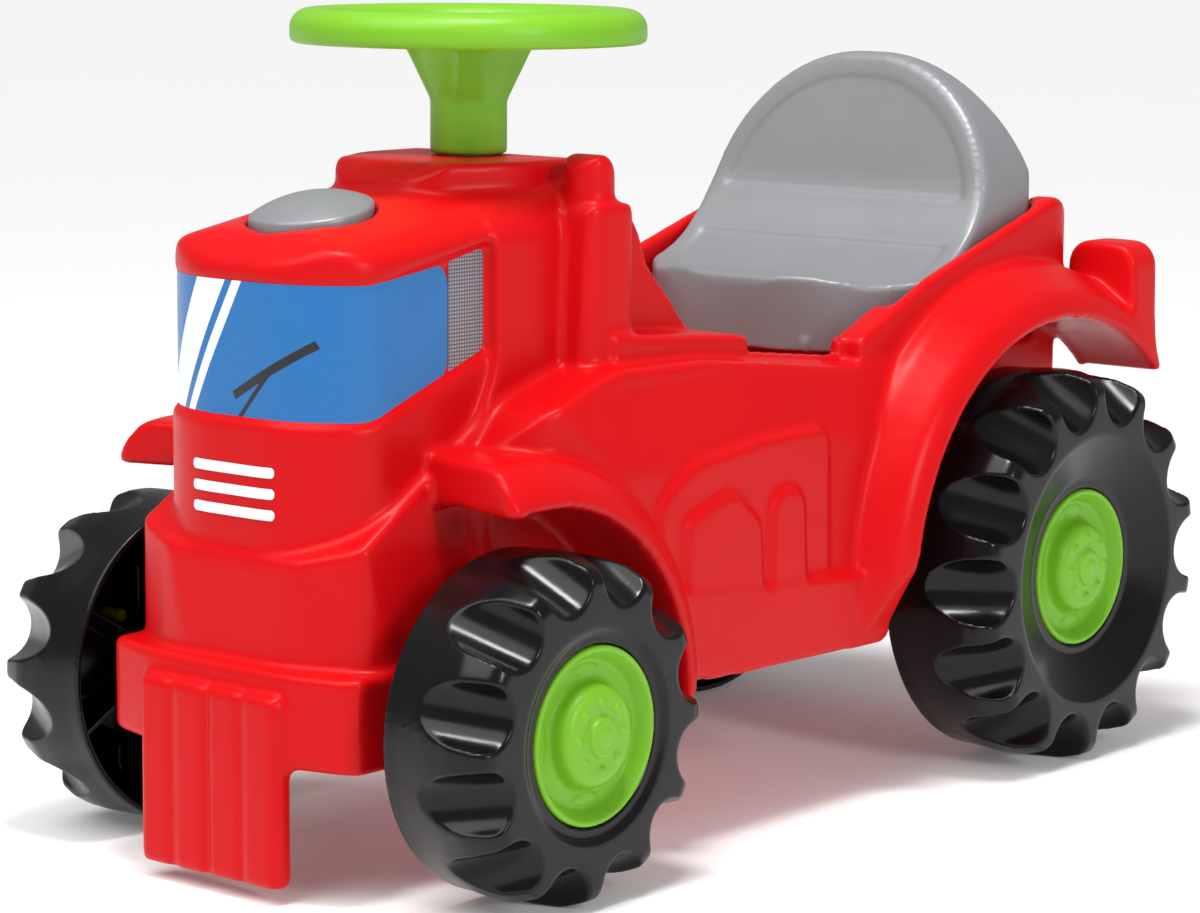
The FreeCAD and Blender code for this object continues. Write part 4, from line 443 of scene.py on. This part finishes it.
def horn_piece():
    mesh = moulded_mesh("horn_moulding", "horn_button", voxel=0.6, inner_r=0.8, outer_r=0.9, relax_steps=4)
    piece("horn_moulding", mesh, "horn", "horn_button", GREY)


def half_turned(mesh, axle_y, name):
    """A left wheel's mesh for the right side: turned half way round the upright line through the axle."""
    copy = mesh.copy()
    copy.name = name
    at_axle = Matrix.Translation((0.0, axle_y * MM, 0.0))
    copy.transform(at_axle @ Matrix.Rotation(math.pi, 4, "Z") @ at_axle.inverted())
    return copy


def moved_copy(mesh, shift, name):
    copy = mesh.copy()
    copy.name = name
    copy.transform(Matrix.Translation(Vector(shift) * MM))
    return copy


def wheel_pieces(part, left_meshes, material):
    """The four tyres or hub caps, from the meshes of the left ones."""
    for end, axle_y in (("front", FRONT_AXLE_Y), ("rear", REAR_AXLE_Y)):
        left = left_meshes[end]
        right = half_turned(left, axle_y, f"{end}_right_{part}_moulding")
        for side, mesh in (("left", left), ("right", right)):
            node = f"{end}_{side}_{part}"
            piece(f"{node}_moulding", mesh, f"{end}_{side}_wheel", node, material)


def tyre_pieces():
    meshes = {}
    for end in ("front", "rear"):
        meshes[end] = moulded_mesh(f"{end}_left_tyre_moulding", f"{end}_left_tyre", voxel=0.7, inner_r=1.6,
                                   outer_r=0.7, relax_steps=3, keep=0.3)
    wheel_pieces("tyre", meshes, BLACK)


def hub_cap_pieces():
    """Front and rear hub caps have one shape."""
    front = moulded_mesh("front_left_hub_cap_moulding", "front_left_hub_cap", voxel=0.45, inner_r=0.7,
                         outer_r=0.6, relax_steps=3, keep=0.4)
    rear = moved_copy(front, HUB_CAP_SHIFT, "rear_left_hub_cap_moulding")
    wheel_pieces("hub_cap", {"front": front, "rear": rear}, GREEN)


# Stage.

def floor():
    """White studio floor, wide enough to fill the picture."""
    bpy.ops.mesh.primitive_plane_add(size=60.0)
    plane = bpy.context.object
    plane.name = "floor"
    material, tree, shader = new_material("floor")
    paper = mixed(tree, noise(tree, 3.0, 2.0), (0.93, 0.93, 0.93), (0.92, 0.92, 0.92))
    tree.links.new(paper, shader.inputs["Base Color"])
    shader.inputs["Roughness"].default_value = 0.7
    shader.inputs["Emission Color"].default_value = (1.0, 1.0, 1.0, 1.0)
    shader.inputs["Emission Strength"].default_value = 0.1
    plane.data.materials.append(material)


def soft_box(name, at, aim, size, power):
    """Rectangular studio light; places and sizes in metres, power in watts."""
    data = bpy.data.lights.new(name, "AREA")
    data.shape = "RECTANGLE"
    data.size, data.size_y = size
    data.energy = power
    lamp = bpy.data.objects.new(name, data)
    bpy.context.collection.objects.link(lamp)
    lamp.location = at
    lamp.rotation_euler = (Vector(aim) - Vector(at)).to_track_quat("-Z", "Y").to_euler()


def lights():
    """Even white studio light: a bright room, one broad sun and two soft boxes for the glints."""
    world = bpy.data.worlds.new("studio")
    world.use_nodes = True
    sky = world.node_tree.nodes["Background"]
    sky.inputs["Color"].default_value = (1.0, 1.0, 1.0, 1.0)
    sky.inputs["Strength"].default_value = 0.34
    bpy.context.scene.world = world
    sun = bpy.data.lights.new("sun", "SUN")
    sun.energy = 2.2
    sun.angle = math.radians(50.0)
    lamp = bpy.data.objects.new("sun", sun)
    bpy.context.collection.objects.link(lamp)
    lamp.rotation_euler = Vector((0.15, 0.62, -1.0)).to_track_quat("-Z", "Y").to_euler()
    middle = (0.0, 0.0, 0.2)
    soft_box("top", at=(0.25, -0.35, 1.7), aim=middle, size=(0.42, 0.28), power=18.0)
    soft_box("side", at=(2.0, -0.5, 1.0), aim=middle, size=(0.28, 0.7), power=14.0)


def camera():
    """The camera of the photograph."""
    data = bpy.data.cameras.new("photo")
    data.sensor_fit = "HORIZONTAL"
    data.lens = data.sensor_width * FOCAL_PX / PHOTO_W
    flat = math.cos(CAMERA_DOWN)
    back = Vector((math.sin(CAMERA_TURN) * flat, -math.cos(CAMERA_TURN) * flat, math.sin(CAMERA_DOWN)))
    level = Vector((math.cos(CAMERA_TURN), math.sin(CAMERA_TURN), 0.0))
    above = back.cross(level)
    right = level * math.cos(CAMERA_ROLL) + above * math.sin(CAMERA_ROLL)
    up = above * math.cos(CAMERA_ROLL) - level * math.sin(CAMERA_ROLL)
    made = bpy.data.objects.new("photo", data)
    bpy.context.collection.objects.link(made)
    made.matrix_world = Matrix((right, up, back)).transposed().to_4x4()
    made.matrix_world.translation = CAMERA_AT
    bpy.context.scene.camera = made


paint_cad_nodes()
body_piece()
seat_piece()
steering_piece()
horn_piece()
tyre_pieces()
hub_cap_pieces()
floor()
lights()
camera()
bpy.context.scene.view_settings.view_transform = "Standard"
